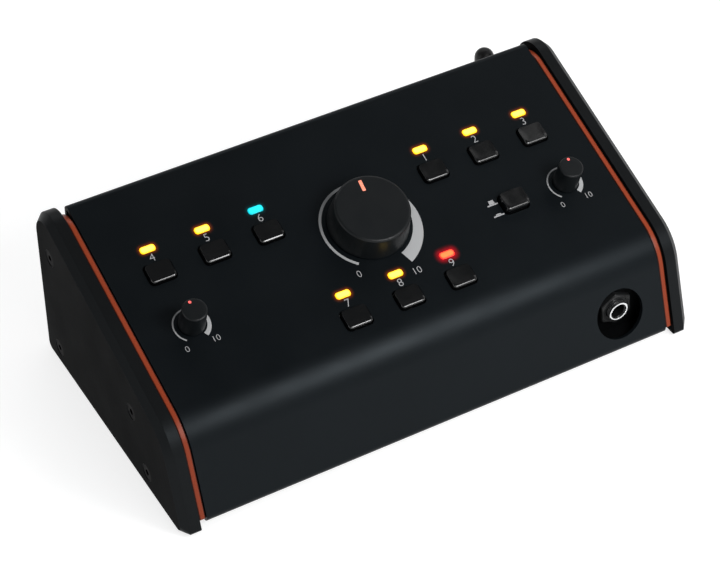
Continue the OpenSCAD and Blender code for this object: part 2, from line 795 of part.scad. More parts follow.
phones_shift = 0.7;
phones_drop = 0.5;
phones_x = phones_hole_x + phones_shift;
phones_z = ridge_z - phones_row * cos(front_lean) - phones_drop;
bracket_t = 1.5;
bracket_clear = 4.5;
bracket_w = 2 * (phones_side - phones_shift - sheet_t - bracket_clear);
bracket_top = phones_z + 11;
bracket_foot = 12;
bracket_gap = 0.6;
bracket_y = at_front(bracket_top, -sheet_t)[0] + bracket_gap;
nose_proud = 0.2;
nose_front = at_front(phones_z, -sheet_t)[0] - nose_proud;
nose_seat = 4;
nose_edge = 0.5;
jack_depth = 30;
jack_end = 1;
jack_w = 15;
jack_nut_af = 15;
jack_nut_h = 2.5;
phones_nut_turn = -24.7;

module phones_bracket() {
    color([0.20, 0.21, 0.22]) difference() {
        union() {
            translate([phones_x - bracket_w / 2, bracket_y, floor_z + sheet_t])
                cube([bracket_w, bracket_t, bracket_top - floor_z - sheet_t]);
            translate([phones_x - bracket_w / 2, bracket_y, floor_z + sheet_t])
                cube([bracket_w, bracket_foot, bracket_t]);
        }
        along_y(phones_x, phones_z, bracket_y - overcut, bracket_y + bracket_t + overcut,
            nose_d / 2 + thread_gap);
    }
}

// socket body behind a panel face at y, facing -Y when s is -1 and +Y when s is 1
module jack_body(x, z, y, s, l) {
    translate([x, y, z]) rotate([s * -90, 0, 0]) translate([0, 0, -l]) difference() {
        block(jack_w, jack_w, 0, l);
        translate([0, 0, jack_end]) cylinder(h = l, d = jack_bore);
        translate([0, 0, l - nose_seat]) cylinder(h = nose_seat + overcut, d = nose_d);
    }
}

// chrome sleeve whose mouth is at y, facing -Y when s is -1
module jack_nose(x, z, y, s, l) {
    translate([x, y, z]) rotate([s * -90, 0, 0]) translate([0, 0, -l]) rotate_extrude() polygon([
        [jack_bore / 2, 0], [nose_d / 2, 0], [nose_d / 2, l - nose_edge], [nose_d / 2 - nose_edge, l],
        [jack_bore / 2 + nose_edge, l], [jack_bore / 2, l - nose_edge]]);
}

// hexagon nut whose outer face is at y, turned by a
module jack_nut(x, z, y, s, af, d, a = 0) {
    translate([x, y, z]) rotate([s * -90, 0, 0]) rotate(a) translate([0, 0, -jack_nut_h]) difference() {
        cylinder(h = jack_nut_h, d = af / cos(30), $fn = 6);
        translate([0, 0, -overcut]) cylinder(h = jack_nut_h + 2 * overcut, d = d);
    }
}

module phones_jack() {
    color([0.10, 0.10, 0.11])
        jack_body(phones_x, phones_z, bracket_y + bracket_t, -1, jack_depth - bracket_y + nose_front);
}

module phones_nose() {
    color([0.88, 0.88, 0.90])
        jack_nose(phones_x, phones_z, nose_front, -1, bracket_y - nose_front + bracket_t + nose_seat);
}

module phones_nut() {
    color([0.24, 0.25, 0.26])
        jack_nut(phones_x, phones_z, bracket_y - jack_nut_h, -1, jack_nut_af, nose_d, phones_nut_turn);
}

// ---- line sockets, aux socket, power inlet and power switch at the back

line_jack_l = 26;
rear_board_y = panel_in_y - line_jack_l;
line_nose_rise = 4;
line_nut_af = 13;

module line_jacks() {
    color([0.12, 0.12, 0.13]) for (p = line_places) {
        jack_body(p[0], p[1], panel_in_y, 1, line_jack_l);
        jack_nose(p[0], p[1], panel_out_y + line_nose_rise, 1,
            line_nose_rise + sheet_t + nose_seat);
    }
}

module line_jack_nuts() {
    color([0.70, 0.70, 0.68]) for (p = line_places)
        jack_nut(p[0], p[1], panel_out_y + jack_nut_h, 1, line_nut_af, nose_d);
}

socket_proud = 3;
socket_end = 1;
aux_w = 9;
aux_l = 13;
aux_nut_af = 8;

// housing, threaded nose and nut of a small socket at place p
module small_socket(p, w, l, nose, af) {
    translate([p[0] - w / 2, panel_in_y - l, p[1] - w / 2]) cube([w, l, w]);
    along_y(p[0], p[1], panel_in_y - skin, panel_out_y + socket_proud, nose / 2);
    jack_nut(p[0], p[1], panel_out_y + jack_nut_h, 1, af, nose - skin);
}

module aux_jack() {
    color([0.14, 0.14, 0.15]) difference() {
        union() small_socket(aux_place, aux_w, aux_l, aux_nose_d, aux_nut_af);
        along_y(aux_place[0], aux_place[1], panel_in_y - aux_l + socket_end,
            panel_out_y + socket_proud + overcut, aux_bore / 2);
    }
}

dc_w = 11;
dc_l = 14;
dc_nut_af = 11;
dc_bore = 5.6;
dc_pin = 2.1;
dc_hole_l = 7;
dc_floor_y = panel_out_y - dc_hole_l;

module dc_inlet() {
    color([0.14, 0.14, 0.15]) {
        difference() {
            union() small_socket(dc_place, dc_w, dc_l, dc_nose_d, dc_nut_af);
            along_y(dc_place[0], dc_place[1], dc_floor_y, panel_out_y + socket_proud + overcut, dc_bore / 2);
        }
        along_y(dc_place[0], dc_place[1], dc_floor_y - 1, panel_out_y + socket_proud / 2, dc_pin / 2);
    }
}

rear_board_rim = 10;
rear_board_lift = 4;
rear_board_rise = 6;
rear_board_z0 = floor_z + sheet_t + rear_board_lift;
rear_board_z1 = line_low + line_rows + rear_board_rise;
rear_board_x0 = line_columns[0] - jack_w / 2 - rear_board_rim;

module rear_board() {
    color([0.05, 0.32, 0.16]) translate([rear_board_x0, rear_board_y - board_t, rear_board_z0])
        cube([2 * (line_shift - rear_board_x0), board_t, rear_board_z1 - rear_board_z0]);
}

bezel = 1.2;
bezel_t = 1.5;
switch_wall = 1.5;
rocker_gap = 0.3;
rocker_w = power_w - 2 * switch_wall;
rocker_l = power_l - 2 * switch_wall;
rocker_tilt = 9;
rocker_root = 3;
rocker_trim = 1;
rocker_face = 6.4;
rocker_dish = 1.2;
pivot_r = 1.2;
pin_end = 1;
pin_room = 0.2;
pivot_depth = 3.5;
pivot_y = panel_out_y - pivot_depth;
power_depth = 12;

module power_switch() {
    color([0.10, 0.10, 0.11]) translate([power_place[0], 0, power_place[1]]) difference() {
        union() {
            translate([-power_w / 2, panel_out_y - power_depth, -power_l / 2])
                cube([power_w, power_depth + bezel_t, power_l]);
            translate([-power_w / 2 - bezel, panel_out_y, -power_l / 2 - bezel])
                cube([power_w + 2 * bezel, bezel_t, power_l + 2 * bezel]);
        }
        translate([-rocker_w / 2 - rocker_gap, panel_out_y - power_depth + switch_wall,
            -rocker_l / 2 - rocker_gap])
            cube([rocker_w + 2 * rocker_gap, power_depth + bezel_t, rocker_l + 2 * rocker_gap]);
        translate([-rocker_w / 2 - pin_end - pin_room, pivot_y, 0]) rotate([0, 90, 0])
            cylinder(h = rocker_w + 2 * (pin_end + pin_room), r = pivot_r + shaft_fit);
    }
}

// a dished rocker on a cross pin, at rest with its upper end pressed in
module power_rocker() {
    color([0.15, 0.15, 0.16]) translate([power_place[0], pivot_y, power_place[1]])
        rotate([rocker_tilt, 0, 0]) {
            along_x(-rocker_w / 2, rocker_w / 2) polygon([[-pivot_r - 0.3, -rocker_root],
                [-pivot_r - 0.3, rocker_root], [rocker_face / 4, rocker_l / 2 - rocker_trim],
                [rocker_face, rocker_l / 2 - rocker_trim], [rocker_face - rocker_dish, 0],
                [rocker_face, rocker_trim - rocker_l / 2], [rocker_face / 4, rocker_trim - rocker_l / 2]]);
            translate([-rocker_w / 2 - pin_end, 0, 0]) rotate([0, 90, 0])
                cylinder(h = rocker_w + 2 * pin_end, r = pivot_r);
        }
}

// ---- antenna: a fixed socket, a knuckle that turns in it and a stub that tilts

ear_gap = 4.6;
ear_room = 0.6;
tongue_w = 4;
tongue_trim = 0.4;
hinge_r = 1.2;
spigot_r = 2;
knuckle_neck = 4;
hinge_y = ridge_y + hinge_depth;
knuckle_front = hinge_y - knuckle_r - knuckle_neck;
antenna_nut_af = 8;
antenna_nut_h = 2;
socket_in = 6;
stub_gap = 0.5;

module antenna_socket() {
    color([0.80, 0.66, 0.30]) difference() {
        union() {
            along_y(antenna_x, antenna_z, panel_in_y - socket_in, knuckle_front - sheet_gap,
                antenna_nose_d / 2);
            for (y = [panel_in_y, panel_out_y + antenna_nut_h]) translate([antenna_x, y, antenna_z])
                rotate([90, 0, 0]) cylinder(h = antenna_nut_h, d = antenna_nut_af / cos(30), $fn = 6);
        }
        along_y(antenna_x, antenna_z, panel_in_y - socket_in + socket_end, knuckle_front + overcut,
            spigot_r + shaft_fit);
    }
}

module antenna_knuckle() {
    color([0.12, 0.12, 0.13]) difference() {
        union() {
            along_y(antenna_x, antenna_z, panel_out_y, knuckle_front + skin, spigot_r);
            along_y(antenna_x, antenna_z, knuckle_front, hinge_y, knuckle_r);
            translate([antenna_x - knuckle_r, hinge_y, antenna_z]) rotate([0, 90, 0])
                cylinder(h = 2 * knuckle_r, r = knuckle_r);
        }
        translate([antenna_x - ear_gap / 2, hinge_y - knuckle_r - ear_room, antenna_z - 2 * knuckle_r])
            cube([ear_gap, 4 * knuckle_r, 4 * knuckle_r]);
    }
    color([0.75, 0.75, 0.76]) translate([antenna_x - knuckle_r, hinge_y, antenna_z]) rotate([0, 90, 0])
        cylinder(h = 2 * knuckle_r, r = hinge_r);
}

module antenna_stub() {
    r = antenna_d / 2;
    color([0.12, 0.12, 0.13]) translate([antenna_x, hinge_y, antenna_z]) difference() {
        union() {
            translate([-tongue_w / 2, tongue_trim - r, 0])
                cube([tongue_w, 2 * (r - tongue_trim), knuckle_r + 3 * stub_gap]);
            translate([-tongue_w / 2, 0, 0]) rotate([0, 90, 0]) cylinder(h = tongue_w, r = r - tongue_trim);
            rotate_extrude() polygon(concat([[0, knuckle_r + stub_gap], [r - stub_gap, knuckle_r + stub_gap],
                [r, knuckle_r + 2 * stub_gap]], [for (a = [0 : 10 : 80])
                    [r * cos(a), antenna_len - r + r * sin(a)]], [[0, antenna_len]]));
        }
        translate([-tongue_w, 0, 0]) rotate([0, 90, 0]) cylinder(h = 2 * tongue_w, r = hinge_r + shaft_fit);
    }
}

// ---- flat cable from the main board down to the rear board

ribbon_w = 22;
ribbon_t = 1;
ribbon_run = 17;
ribbon_bend = 4;
ribbon_y = rear_board_y - board_t - ribbon_run;
ribbon_z = line_low + line_rows / 4;

module ribbon_cable() {
    color([0.72, 0.70, 0.66]) along_x(line_columns[1], line_columns[1] + ribbon_w)
        polygon(sheet_section([[ribbon_y, at_top(ribbon_y - ridge_y, board_h - board_t)[1]],
            [ribbon_y, ribbon_z], [rear_board_y - board_t, ribbon_z]], [0, ribbon_bend, 0], -ribbon_t));
}

cover();
chassis();
rear_panel();
accent_left();
accent_right();
cheek_left();
cheek_right();
cheek_screws_left();
cheek_screws_right();
press_nuts();
case_screws();
feet();
main_board();
board_standoffs();
amber_windows();
cyan_window();
red_window();
lamp_bodies();
button_switches();
latch_switch();
momentary(0);  // button_left_1
momentary(1);  // button_left_2
momentary(2);  // button_left_3
momentary(3);  // button_right_1
momentary(4);  // button_right_2
momentary(5);  // button_right_3
momentary(6);  // button_lower_1
momentary(7);  // button_lower_2
momentary(8);  // button_lower_3
latch_button();
main_pot();
main_pot_nut();
shaft(main_dial, main_h - knob_wall);  // main_shaft
main_knob();
main_pointer();
small_pot(left_dial);  // left_pot
shaft(left_dial, small_h - knob_wall);  // left_shaft
left_knob();
knob_dot(left_dial);  // left_dot
small_pot(right_dial);  // right_pot
shaft(right_dial, small_h - knob_wall);  // right_shaft
right_knob();
knob_dot(right_dial);  // right_dot
phones_bracket();
phones_jack();
phones_nose();
phones_nut();
line_jacks();
line_jack_nuts();
aux_jack();
dc_inlet();
rear_board();
power_switch();
power_rocker();
antenna_socket();
antenna_knuckle();
antenna_stub();
ribbon_cable();
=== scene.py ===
"""Desktop studio monitor controller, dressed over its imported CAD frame. Sizes are in millimetres."""
import bpy, bmesh, json, math
from mathutils import Matrix, Vector


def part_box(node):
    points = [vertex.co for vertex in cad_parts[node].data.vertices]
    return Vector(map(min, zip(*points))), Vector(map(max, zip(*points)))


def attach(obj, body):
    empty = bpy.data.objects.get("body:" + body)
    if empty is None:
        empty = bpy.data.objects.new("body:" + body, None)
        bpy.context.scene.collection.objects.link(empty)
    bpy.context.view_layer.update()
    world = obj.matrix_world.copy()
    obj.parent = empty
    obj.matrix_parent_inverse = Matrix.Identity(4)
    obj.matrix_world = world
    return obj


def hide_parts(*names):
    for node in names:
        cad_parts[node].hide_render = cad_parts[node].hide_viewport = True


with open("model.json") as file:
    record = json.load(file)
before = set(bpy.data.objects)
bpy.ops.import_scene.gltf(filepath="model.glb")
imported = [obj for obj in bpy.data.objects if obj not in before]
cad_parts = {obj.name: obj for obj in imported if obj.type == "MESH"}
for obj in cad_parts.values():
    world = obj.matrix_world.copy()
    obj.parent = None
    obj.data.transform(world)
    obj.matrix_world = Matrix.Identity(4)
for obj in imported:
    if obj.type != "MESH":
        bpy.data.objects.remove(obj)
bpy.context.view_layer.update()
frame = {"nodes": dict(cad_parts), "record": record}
NODES = frame["nodes"]
SLOTS = {part["node"]: part["material_slot"] for part in frame["record"]["subparts"]}
BODY = {node: body for body, nodes in frame["record"]["behaviour"]["bodies"].items() for node in nodes}
MM = 0.001

# ------------------------------------------------------------------ measures shared with the CAD model
# The case. Its ridge is the line where the top and the front would meet without the bend.
SLOPE = math.radians(19.4)
LEAN = math.radians(19.2)
HALF_W = 113.5
DEPTH = 110.6
FRONT_LEN = 44.5
RIDGE_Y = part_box("cover")[1].y / MM - DEPTH
RIDGE_Z = 44.6
RIDGE_R = 23.0
EDGE_R = 3.0
SHEET = 2.0
REAR_LIP = 10.0
BASE_LIP = 16.0

# The cheeks, and the accent plates between them and the cover
CHEEK_T = 8.0
CHEEK_PROUD = 1.0
CHEEK_CHAMFER = 3.0
CHEEK_CLEAR = 1.5
CHEEK_REACH = 8.4
CHEEK_REAR_R = 13.6
CHEEK_FOOT_R = 1.5
ACCENT_T = 3.5
ACCENT_INSET = 0.3
ACCENT_REACH = 5.4
ACCENT_CLEAR = 5.0
ACCENT_FOOT_R = 1.0
ACCENT_BEVEL = 1.0
CHEEK_IN = HALF_W + ACCENT_T
CHEEK_OUT = HALF_W + ACCENT_T + CHEEK_T

# Screws: places on the cheeks and behind the cover, and the holes that they sit in
SCREW_REAR = 6.6
SCREW_DROP = 19.6
SCREW_LOW = 9.8
SCREW_FRONT = (29.5, 18.2)
CHEEK_SINK = dict(head_r=3.95, edge_z=-0.2, shank_r=2.3, cone_z=-2.2, end_z=-9)
CASE_SCREW_X = [k * 2 * HALF_W / 4.6 for k in (-1.5, -0.5, 0.5, 1.5)]
CASE_SCREW_RISE = REAR_LIP / 2.6
CASE_SINK = dict(head_r=2.92, edge_z=0.02, shank_r=1.7, cone_z=-1.2, end_z=-4)

# The panel: places are (distance from the middle, distance up the slope from the ridge)
UPPER_ROW = 82.7
LOWER_ROW = 31.4
DIAL_ROW = 43.2
MAIN_ROW = 57.9
GROUP_X = 65.9
PITCH = 25.4
LAMP_TO_BUTTON = 12.2
DIAL_SHIFT = 0.9
LATCH_SHIFT = -0.2
GROUPS = (("left", -GROUP_X, UPPER_ROW), ("right", GROUP_X, UPPER_ROW), ("lower", 0.0, LOWER_ROW))
LAMPS = {"%s_%d" % (side, k + 2): (x + k * PITCH, d) for side, x, d in GROUPS for k in (-1, 0, 1)}
LATCH = (GROUP_X + LATCH_SHIFT, DIAL_ROW)
MAIN = (DIAL_SHIFT, MAIN_ROW)
LEFT_DIAL = (-GROUP_X - PITCH + DIAL_SHIFT, DIAL_ROW)
RIGHT_DIAL = (GROUP_X + PITCH + DIAL_SHIFT, DIAL_ROW)
SMALL_DIALS = (("left", LEFT_DIAL), ("right", RIGHT_DIAL))

# Buttons and lamp windows
CAP_W = 11.5
CAP_L = 9.0
CAP_R = 1.6
CAP_GAP = 0.7
CAP_H = 1.6
CAP_SKIRT = 5.0
FLANGE_W = 1.5
FLANGE_DROP = 0.3
STEM_W = 3.0
STEM_R = 0.2
STEM_END = -11.7
LATCH_H = 3.4
LATCH_STEM_END = -10.4
LAMP_W = 7.0
LAMP_L = 3.4
LAMP_R = 1.3
WINDOW_FIT = 0.05

# Dials
MAIN_D = 35.8
MAIN_TOP_D = 33.0
MAIN_H = 12.9
MAIN_HOLE_R = 3.7
SMALL_D = 11.4
SMALL_TOP_D = 10.7
SMALL_H = 12.8
SMALL_HOLE_R = 3.6
SHAFT_D = 6.0
DIAL_GAP = 0.6
KNOB_WALL = 2.0

# The phones socket: its opening in the front, ring, bore and nut
PHONES_HOLE_X = HALF_W - 22.2
PHONES_ROW = 25.5
PHONES_HOLE_R = 11.75
NOSE_R = 4.85
BORE_R = 3.3
NUT_TURN = -24.7
NUT_AF = 15.0
NUT_H = 2.5
NOSE_LOW, NOSE_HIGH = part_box("phones_nose")
PHONES_X = (NOSE_LOW.x + NOSE_HIGH.x) / 2 / MM
PHONES_Z = (NOSE_LOW.z + NOSE_HIGH.z) / 2 / MM
NOSE_Y = NOSE_LOW.y / MM
NOSE_L = (NOSE_HIGH.y - NOSE_LOW.y) / MM
NUT_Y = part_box("phones_nut")[0].y / MM

# ------------------------------------------------------------------ places on the case
TOP_N = Vector((-math.sin(SLOPE), math.cos(SLOPE)))
FRONT_N = Vector((-math.cos(LEAN), math.sin(LEAN)))
RIDGE = Matrix.Translation((0, RIDGE_Y * MM, RIDGE_Z * MM))
TOP = RIDGE @ Matrix.Rotation(SLOPE, 4, "X") @ Matrix.Scale(MM, 4)
FRONT = RIDGE @ Matrix.Rotation(math.pi / 2 - LEAN, 4, "X") @ Matrix.Scale(MM, 4)


def ridge_at(h):
    """The ridge in (y, z) of a case that is larger all round by h."""
    return Vector((RIDGE_Y, RIDGE_Z)) + (TOP_N + FRONT_N) * (h / (1 + TOP_N.dot(FRONT_N)))


def at_front(z, h):
    """The point in (y, z) at the height z, h in front of the front face."""
    r = ridge_at(h)
    return Vector((r.x - (r.y - z) * math.tan(LEAN), z))


def at_top(y_rel, h):
    """The point in (y, z) at y_rel behind the ridge, h over the top."""
    r = ridge_at(h)
    return Vector((RIDGE_Y + y_rel, r.y + (RIDGE_Y + y_rel - r.x) * math.tan(SLOPE)))


def at(face, x, d):
    """A frame in millimetres on a face: x across, d up the face, Z out of it."""
    return face @ Matrix.Translation((x, d, 0))


def facing(x, y, z, turn, axis):
    """A frame in millimetres at a point, with its Z turned about an axis."""
    return Matrix.Translation((x * MM, y * MM, z * MM)) @ Matrix.Rotation(turn, 4, axis) @ Matrix.Scale(MM, 4)


# ------------------------------------------------------------------ outlines
def fillet(a, b, c, r, n):
    """n + 1 points of the rounded corner at b, between a and c."""
    if r <= 0:
        return [b.copy() for _ in range(n + 1)]
    u, v = (a - b).normalized(), (c - b).normalized()
    half = math.acos(max(-1, min(1, u.dot(v)))) / 2
    centre = b + (u + v).normalized() * r / math.sin(half)
    start, end = b + u * r / math.tan(half) - centre, b + v * r / math.tan(half) - centre
    a0 = math.atan2(start.y, start.x)
    turn = (math.atan2(end.y, end.x) - a0 + math.pi) % (2 * math.pi) - math.pi
    angles = [a0 + turn * k / n for k in range(n + 1)]
    return [centre + Vector((math.cos(angle), math.sin(angle))) * r for angle in angles]


def ring(pts, radii, n=14):
    """A closed outline with rounded corners."""
    out = []
    for i, b in enumerate(pts):
        out += fillet(pts[i - 1], b, pts[(i + 1) % len(pts)], radii[i], n)
    return out


def path(pts, radii, n=14):
    """An open outline with rounded corners and sharp ends."""
    out = [pts[0]]
    for i in range(1, len(pts) - 1):
        out += fillet(pts[i - 1], pts[i], pts[i + 1], radii[i], n)
    return out + [pts[-1]]


def right(a, b):
    """The unit vector to the right of the way from a to b."""
    d = (b - a).normalized()
    return Vector((d.y, -d.x))


def inset(pts, t):
    """An open path moved t to its right."""
    out = []
    for i, p in enumerate(pts):
        n1 = right(pts[i - 1], p) if i else right(p, pts[1])
        n2 = right(p, pts[i + 1]) if i < len(pts) - 1 else n1
        out.append(p + (n1 + n2) * (t / (1 + n1.dot(n2))))
    return out


def rounded(w, l, r, n=8):
    """A rounded rectangle in (x, y)."""
    corners = [Vector((sx * w / 2, sy * l / 2)) for sx, sy in ((1, 1), (-1, 1), (-1, -1), (1, -1))]
    return ring(corners, [r] * 4, n)


# ------------------------------------------------------------------ meshes
# Points closer than WELD millimetres are one, and CAD points closer than CAD_WELD metres
WELD, CAD_WELD = 1e-5, 2e-6
# CAD faces that turn by fewer degrees are one flat face
FLAT_TURN = 0.6


def loft(rings, caps=True):
    """A bmesh through rings of equal length, each a list of 3-D points."""
    bm = bmesh.new()
    rows = [[bm.verts.new(p) for p in r] for r in rings]
    n = len(rows[0])
    for a, b in zip(rows, rows[1:]):
        for i in range(n):
            j = (i + 1) % n
            bm.faces.new((a[i], a[j], b[j], b[i]))
    if caps:
        bm.faces.new(rows[0][::-1])
        bm.faces.new(rows[-1])
    bmesh.ops.remove_doubles(bm, verts=bm.verts, dist=WELD)
    bmesh.ops.recalc_face_normals(bm, faces=bm.faces)
    return bm


def section_x(pts, x0, x1):
    """A (y, z) outline extruded along X."""
    return loft([[Vector((x, p.x, p.y)) for p in pts] for x in (x0, x1)])


def lathe(profile, seg=96):
    """An (r, z) profile turned about Z; ends on the axis are closed."""
    bm = bmesh.new()
    turns = [2 * math.pi * k / seg for k in range(seg)]
    rows = []
    for r, z in profile:
        if r < WELD:
            rows.append([bm.verts.new((0, 0, z))])
        else:
            rows.append([bm.verts.new((r * math.cos(a), r * math.sin(a), z)) for a in turns])
    for a, b in zip(rows, rows[1:]):
        for k in range(seg):
            j = (k + 1) % seg
            quad = [a[k % len(a)], a[j % len(a)], b[j % len(b)], b[k % len(b)]]
            quad = [v for i, v in enumerate(quad) if v not in quad[:i]]
            if len(quad) > 2:
                bm.faces.new(quad)
    bmesh.ops.recalc_face_normals(bm, faces=bm.faces)
    return bm


def stack(outline, levels):
    """Copies of an outline scaled inwards: levels are (inset, z)."""
    w = max(p.x for p in outline)
    l = max(p.y for p in outline)
    rings = []
    for k, z in levels:
        rings.append([Vector((p.x * (w - k) / w, p.y * (l - k) / l, z)) for p in outline])
    return loft(rings)


def join(*bms):
    """One bmesh made of several, which are freed."""
    out = bmesh.new()
    for bm in bms:
        me = bpy.data.meshes.new("joined")
        bm.to_mesh(me)
        out.from_mesh(me)
        bpy.data.meshes.remove(me)
        bm.free()
    return out


def moved(bm, matrix):
    bmesh.ops.transform(bm, matrix=matrix, verts=bm.verts)
    return bm


def face_up(bm):
    """Turns the faces that look down."""
    for f in bm.faces:
        f.normal_update()
        if f.normal.z < 0:
            f.normal_flip()
    return bm


def linked(name, data):
    """An object with that data, in the scene."""
    o = bpy.data.objects.new(name, data)
    bpy.context.scene.collection.objects.link(o)
    return o


def new_object(name, bm, matrix=None):
    """An object from a bmesh, which is freed; the matrix goes into its mesh."""
    me = bpy.data.meshes.new(name)
    bm.to_mesh(me)
    bm.free()
    if matrix is not None:
        me.transform(matrix)
    return linked(name, me)


def final_mesh(o):
    """The mesh of o as it stands after its modifiers, or of its text."""
    bpy.context.view_layer.update()
    return bpy.data.meshes.new_from_object(o.evaluated_get(bpy.context.evaluated_depsgraph_get()))


def apply_modifiers(o):
    me = final_mesh(o)
    o.modifiers.clear()
    old = o.data
    o.data = me
    bpy.data.meshes.remove(old)


def carve(o, *cutters):
    """Cuts bmeshes, already in place in metres, out of o."""
    for bm in cutters:
        tool = new_object("cutter", bm)
        m = o.modifiers.new("cut", "BOOLEAN")
        m.operation, m.solver, m.object = "DIFFERENCE", "EXACT", tool
        apply_modifiers(o)
        bpy.data.objects.remove(tool)


def soften(o, width=0, segments=2, angle=32, smooth=35):
    """Rounds the sharp edges by width and shades the rest smooth, with flat faces kept flat."""
    if width:
        m = o.modifiers.new("round", "BEVEL")
        m.width, m.segments, m.limit_method = width * MM, segments, "ANGLE"
        m.angle_limit, m.use_clamp_overlap, m.miter_outer = math.radians(angle), True, "MITER_ARC"
        apply_modifiers(o)
    for p in o.data.polygons:
        p.use_smooth = True
    o.data.set_sharp_from_angle(angle=math.radians(smooth))
    m = o.modifiers.new("normals", "WEIGHTED_NORMAL")
    m.mode, m.weight, m.keep_sharp = "FACE_AREA", 100, True
    apply_modifiers(o)


def with_glow(o, values):
    """Gives each vertex a value that the lit, lacquered and printed materials read."""
    a = o.data.attributes.new("glow", "FLOAT", "POINT")
    a.data.foreach_set("value", values)
    return o


def piece(o, material, body, slot, *nodes):
    """Finishes an object: sets its material and the body it rides on, and hides the nodes it replaces."""
    o.data.materials.clear()
    o.data.materials.append(material)
    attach(o, body)
    if nodes:
        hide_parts(*nodes)
    return o


def dress(node, material, width):
    """Replaces a CAD node by the same form with rounded edges and smooth curves."""
    bm = bmesh.new()
    bm.from_mesh(NODES[node].data)
    bmesh.ops.remove_doubles(bm, verts=bm.verts, dist=CAD_WELD)
    bmesh.ops.dissolve_limit(bm, angle_limit=math.radians(FLAT_TURN), verts=bm.verts, edges=bm.edges)
    bmesh.ops.recalc_face_normals(bm, faces=bm.faces)
    o = new_object(node + "_dressed", bm)
    soften(o, width, smooth=32)
    return piece(o, material, BODY[node], SLOTS[node], node)


# ------------------------------------------------------------------ shader nodes
class Nodes:
    """Adds nodes to one node tree and chains them."""

    def __init__(self, tree):
        self.tree = tree

    def node(self, kind, **values):
        n = self.tree.nodes.new("ShaderNode" + kind)
        for k, v in values.items():
            if k in n.inputs:
                self.put(n.inputs[k], v)
            else:
                setattr(n, k, v)
        return n

    def put(self, socket, v):
        """Links an output to a socket, or sets its value."""
        if isinstance(v, bpy.types.NodeSocket):
            self.tree.links.new(v, socket)
        else:
            socket.default_value = v

    def calc(self, operation, a, b):
        n = self.node("Math", operation=operation)
        self.put(n.inputs[0], a)
        self.put(n.inputs[1], b)
        return n.outputs[0]

    def remap(self, value, to=(0.0, 1.0), over=(0.3, 0.7), **values):
        """A value that runs between the two of to while the given one runs over its own range."""
        n = self.node("MapRange", **values)
        self.put(n.inputs["Value"], value)
        for k, v in zip(("From Min", "From Max", "To Min", "To Max"), (*over, *to)):
            n.inputs[k].default_value = v
        return n.outputs["Result"]

    def shown_rays(self):
        """A value that is 1 for rays from the camera and for mirrored or refracted ones."""
        rays = self.node("LightPath").outputs
        total = rays["Is Camera Ray"]
        for name in ("Is Glossy Ray", "Is Transmission Ray"):
            total = self.calc("MAXIMUM", total, rays[name])
        return total


class Mat(Nodes):
    """A material: a Principled shader with patterns in object coordinates."""

    SOCKETS = {"color": "Base Color", "rough": "Roughness", "metal": "Metallic",
               "spec": "Specular IOR Level", "tint": "Specular Tint", "normal": "Normal",
               "emit": "Emission Color", "power": "Emission Strength"}

    def __init__(self, name):
        self.material = bpy.data.materials.new(name)
        self.material.use_nodes = True
        super().__init__(self.material.node_tree)
        self.bsdf = next(n for n in self.tree.nodes if n.type == "BSDF_PRINCIPLED")
        self.place = self.node("TexCoord").outputs["Object"]

    def glow(self):
        """The value that with_glow gave the vertices."""
        return self.node("Attribute", attribute_name="glow").outputs["Fac"]

    def stretch(self, sx, sy, sz):
        return self.node("Mapping", Vector=self.place, Scale=(sx, sy, sz)).outputs["Vector"]

    def noise(self, scale, detail=3.0, rough=0.5, vector=None):
        n = self.node("TexNoise", Scale=scale, Detail=detail, Roughness=rough)
        self.put(n.inputs["Vector"], vector or self.place)
        return n.outputs["Fac"]

    def mix(self, fac, a, b):
        n = self.node("Mix", data_type="RGBA")
        self.put(n.inputs[0], fac)
        self.put(n.inputs[6], a)
        self.put(n.inputs[7], b)
        return n.outputs[2]

    def bump(self, height, depth, normal=None):
        """Relief that is depth millimetres deep, over another relief where there is one."""
        n = self.node("Bump", Strength=1.0, Distance=depth * MM, Height=height)
        if normal is not None:
            self.put(n.inputs["Normal"], normal)
        return n.outputs["Normal"]

    def set(self, **values):
        for k, v in values.items():
            self.put(self.bsdf.inputs[self.SOCKETS[k]], v)
        return self.material


def rgb(r, g, b, k=1.0):
    return (r * k, g * k, b * k, 1.0)


# ------------------------------------------------------------------ materials
# Noise scales are in cells a metre, and the depths of relief in millimetres
COAT_PEEL, PEEL_DEPTH = 260.0, 0.032
COAT_GRAIN, GRAIN_DEPTH = 2200.0, 0.02
CHEEK_PEEL = 320.0
INK_DEPTH = 0.012


def coat_relief(m, fine, peel=COAT_PEEL):
    """Fine grain over a faint orange peel."""
    return m.bump(fine, GRAIN_DEPTH, m.bump(m.noise(peel, detail=2.0), PEEL_DEPTH))


def coated(name, c, rough, spec, tint=(1, 1, 1), peel=COAT_PEEL):
    """Powder coat, with patches a little darker or lighter and specks in its grain."""
    m = Mat(name)
    patch = m.noise(14.0, detail=4.0)
    fine = m.noise(COAT_GRAIN, detail=2.0)
    color = m.mix(m.remap(patch), rgb(*c, 0.88), rgb(*c, 1.12))
    color = m.mix(m.remap(fine, (0.0, 0.25), over=(0.62, 0.78)), color, rgb(*c, 2.2))
    dull = m.remap(m.noise(40.0, detail=4.0), (rough - 0.04, rough + 0.05))
    return m.set(color=color, rough=dull, spec=spec, tint=rgb(*tint), normal=coat_relief(m, fine, peel))


def moulded(name, c, rough, spec, grain=3200.0, depth=0.012):
    """Spark-eroded moulded plastic with handling marks."""
    m = Mat(name)
    fine = m.noise(grain, detail=1.5)
    rub = m.noise(90.0, detail=5.0, rough=0.6)
    color = m.mix(m.remap(rub), rgb(*c, 0.9), rgb(*c, 1.1))
    return m.set(color=color, rough=m.remap(rub, (rough + 0.06, rough - 0.06)), spec=spec,
                 normal=m.bump(fine, depth))


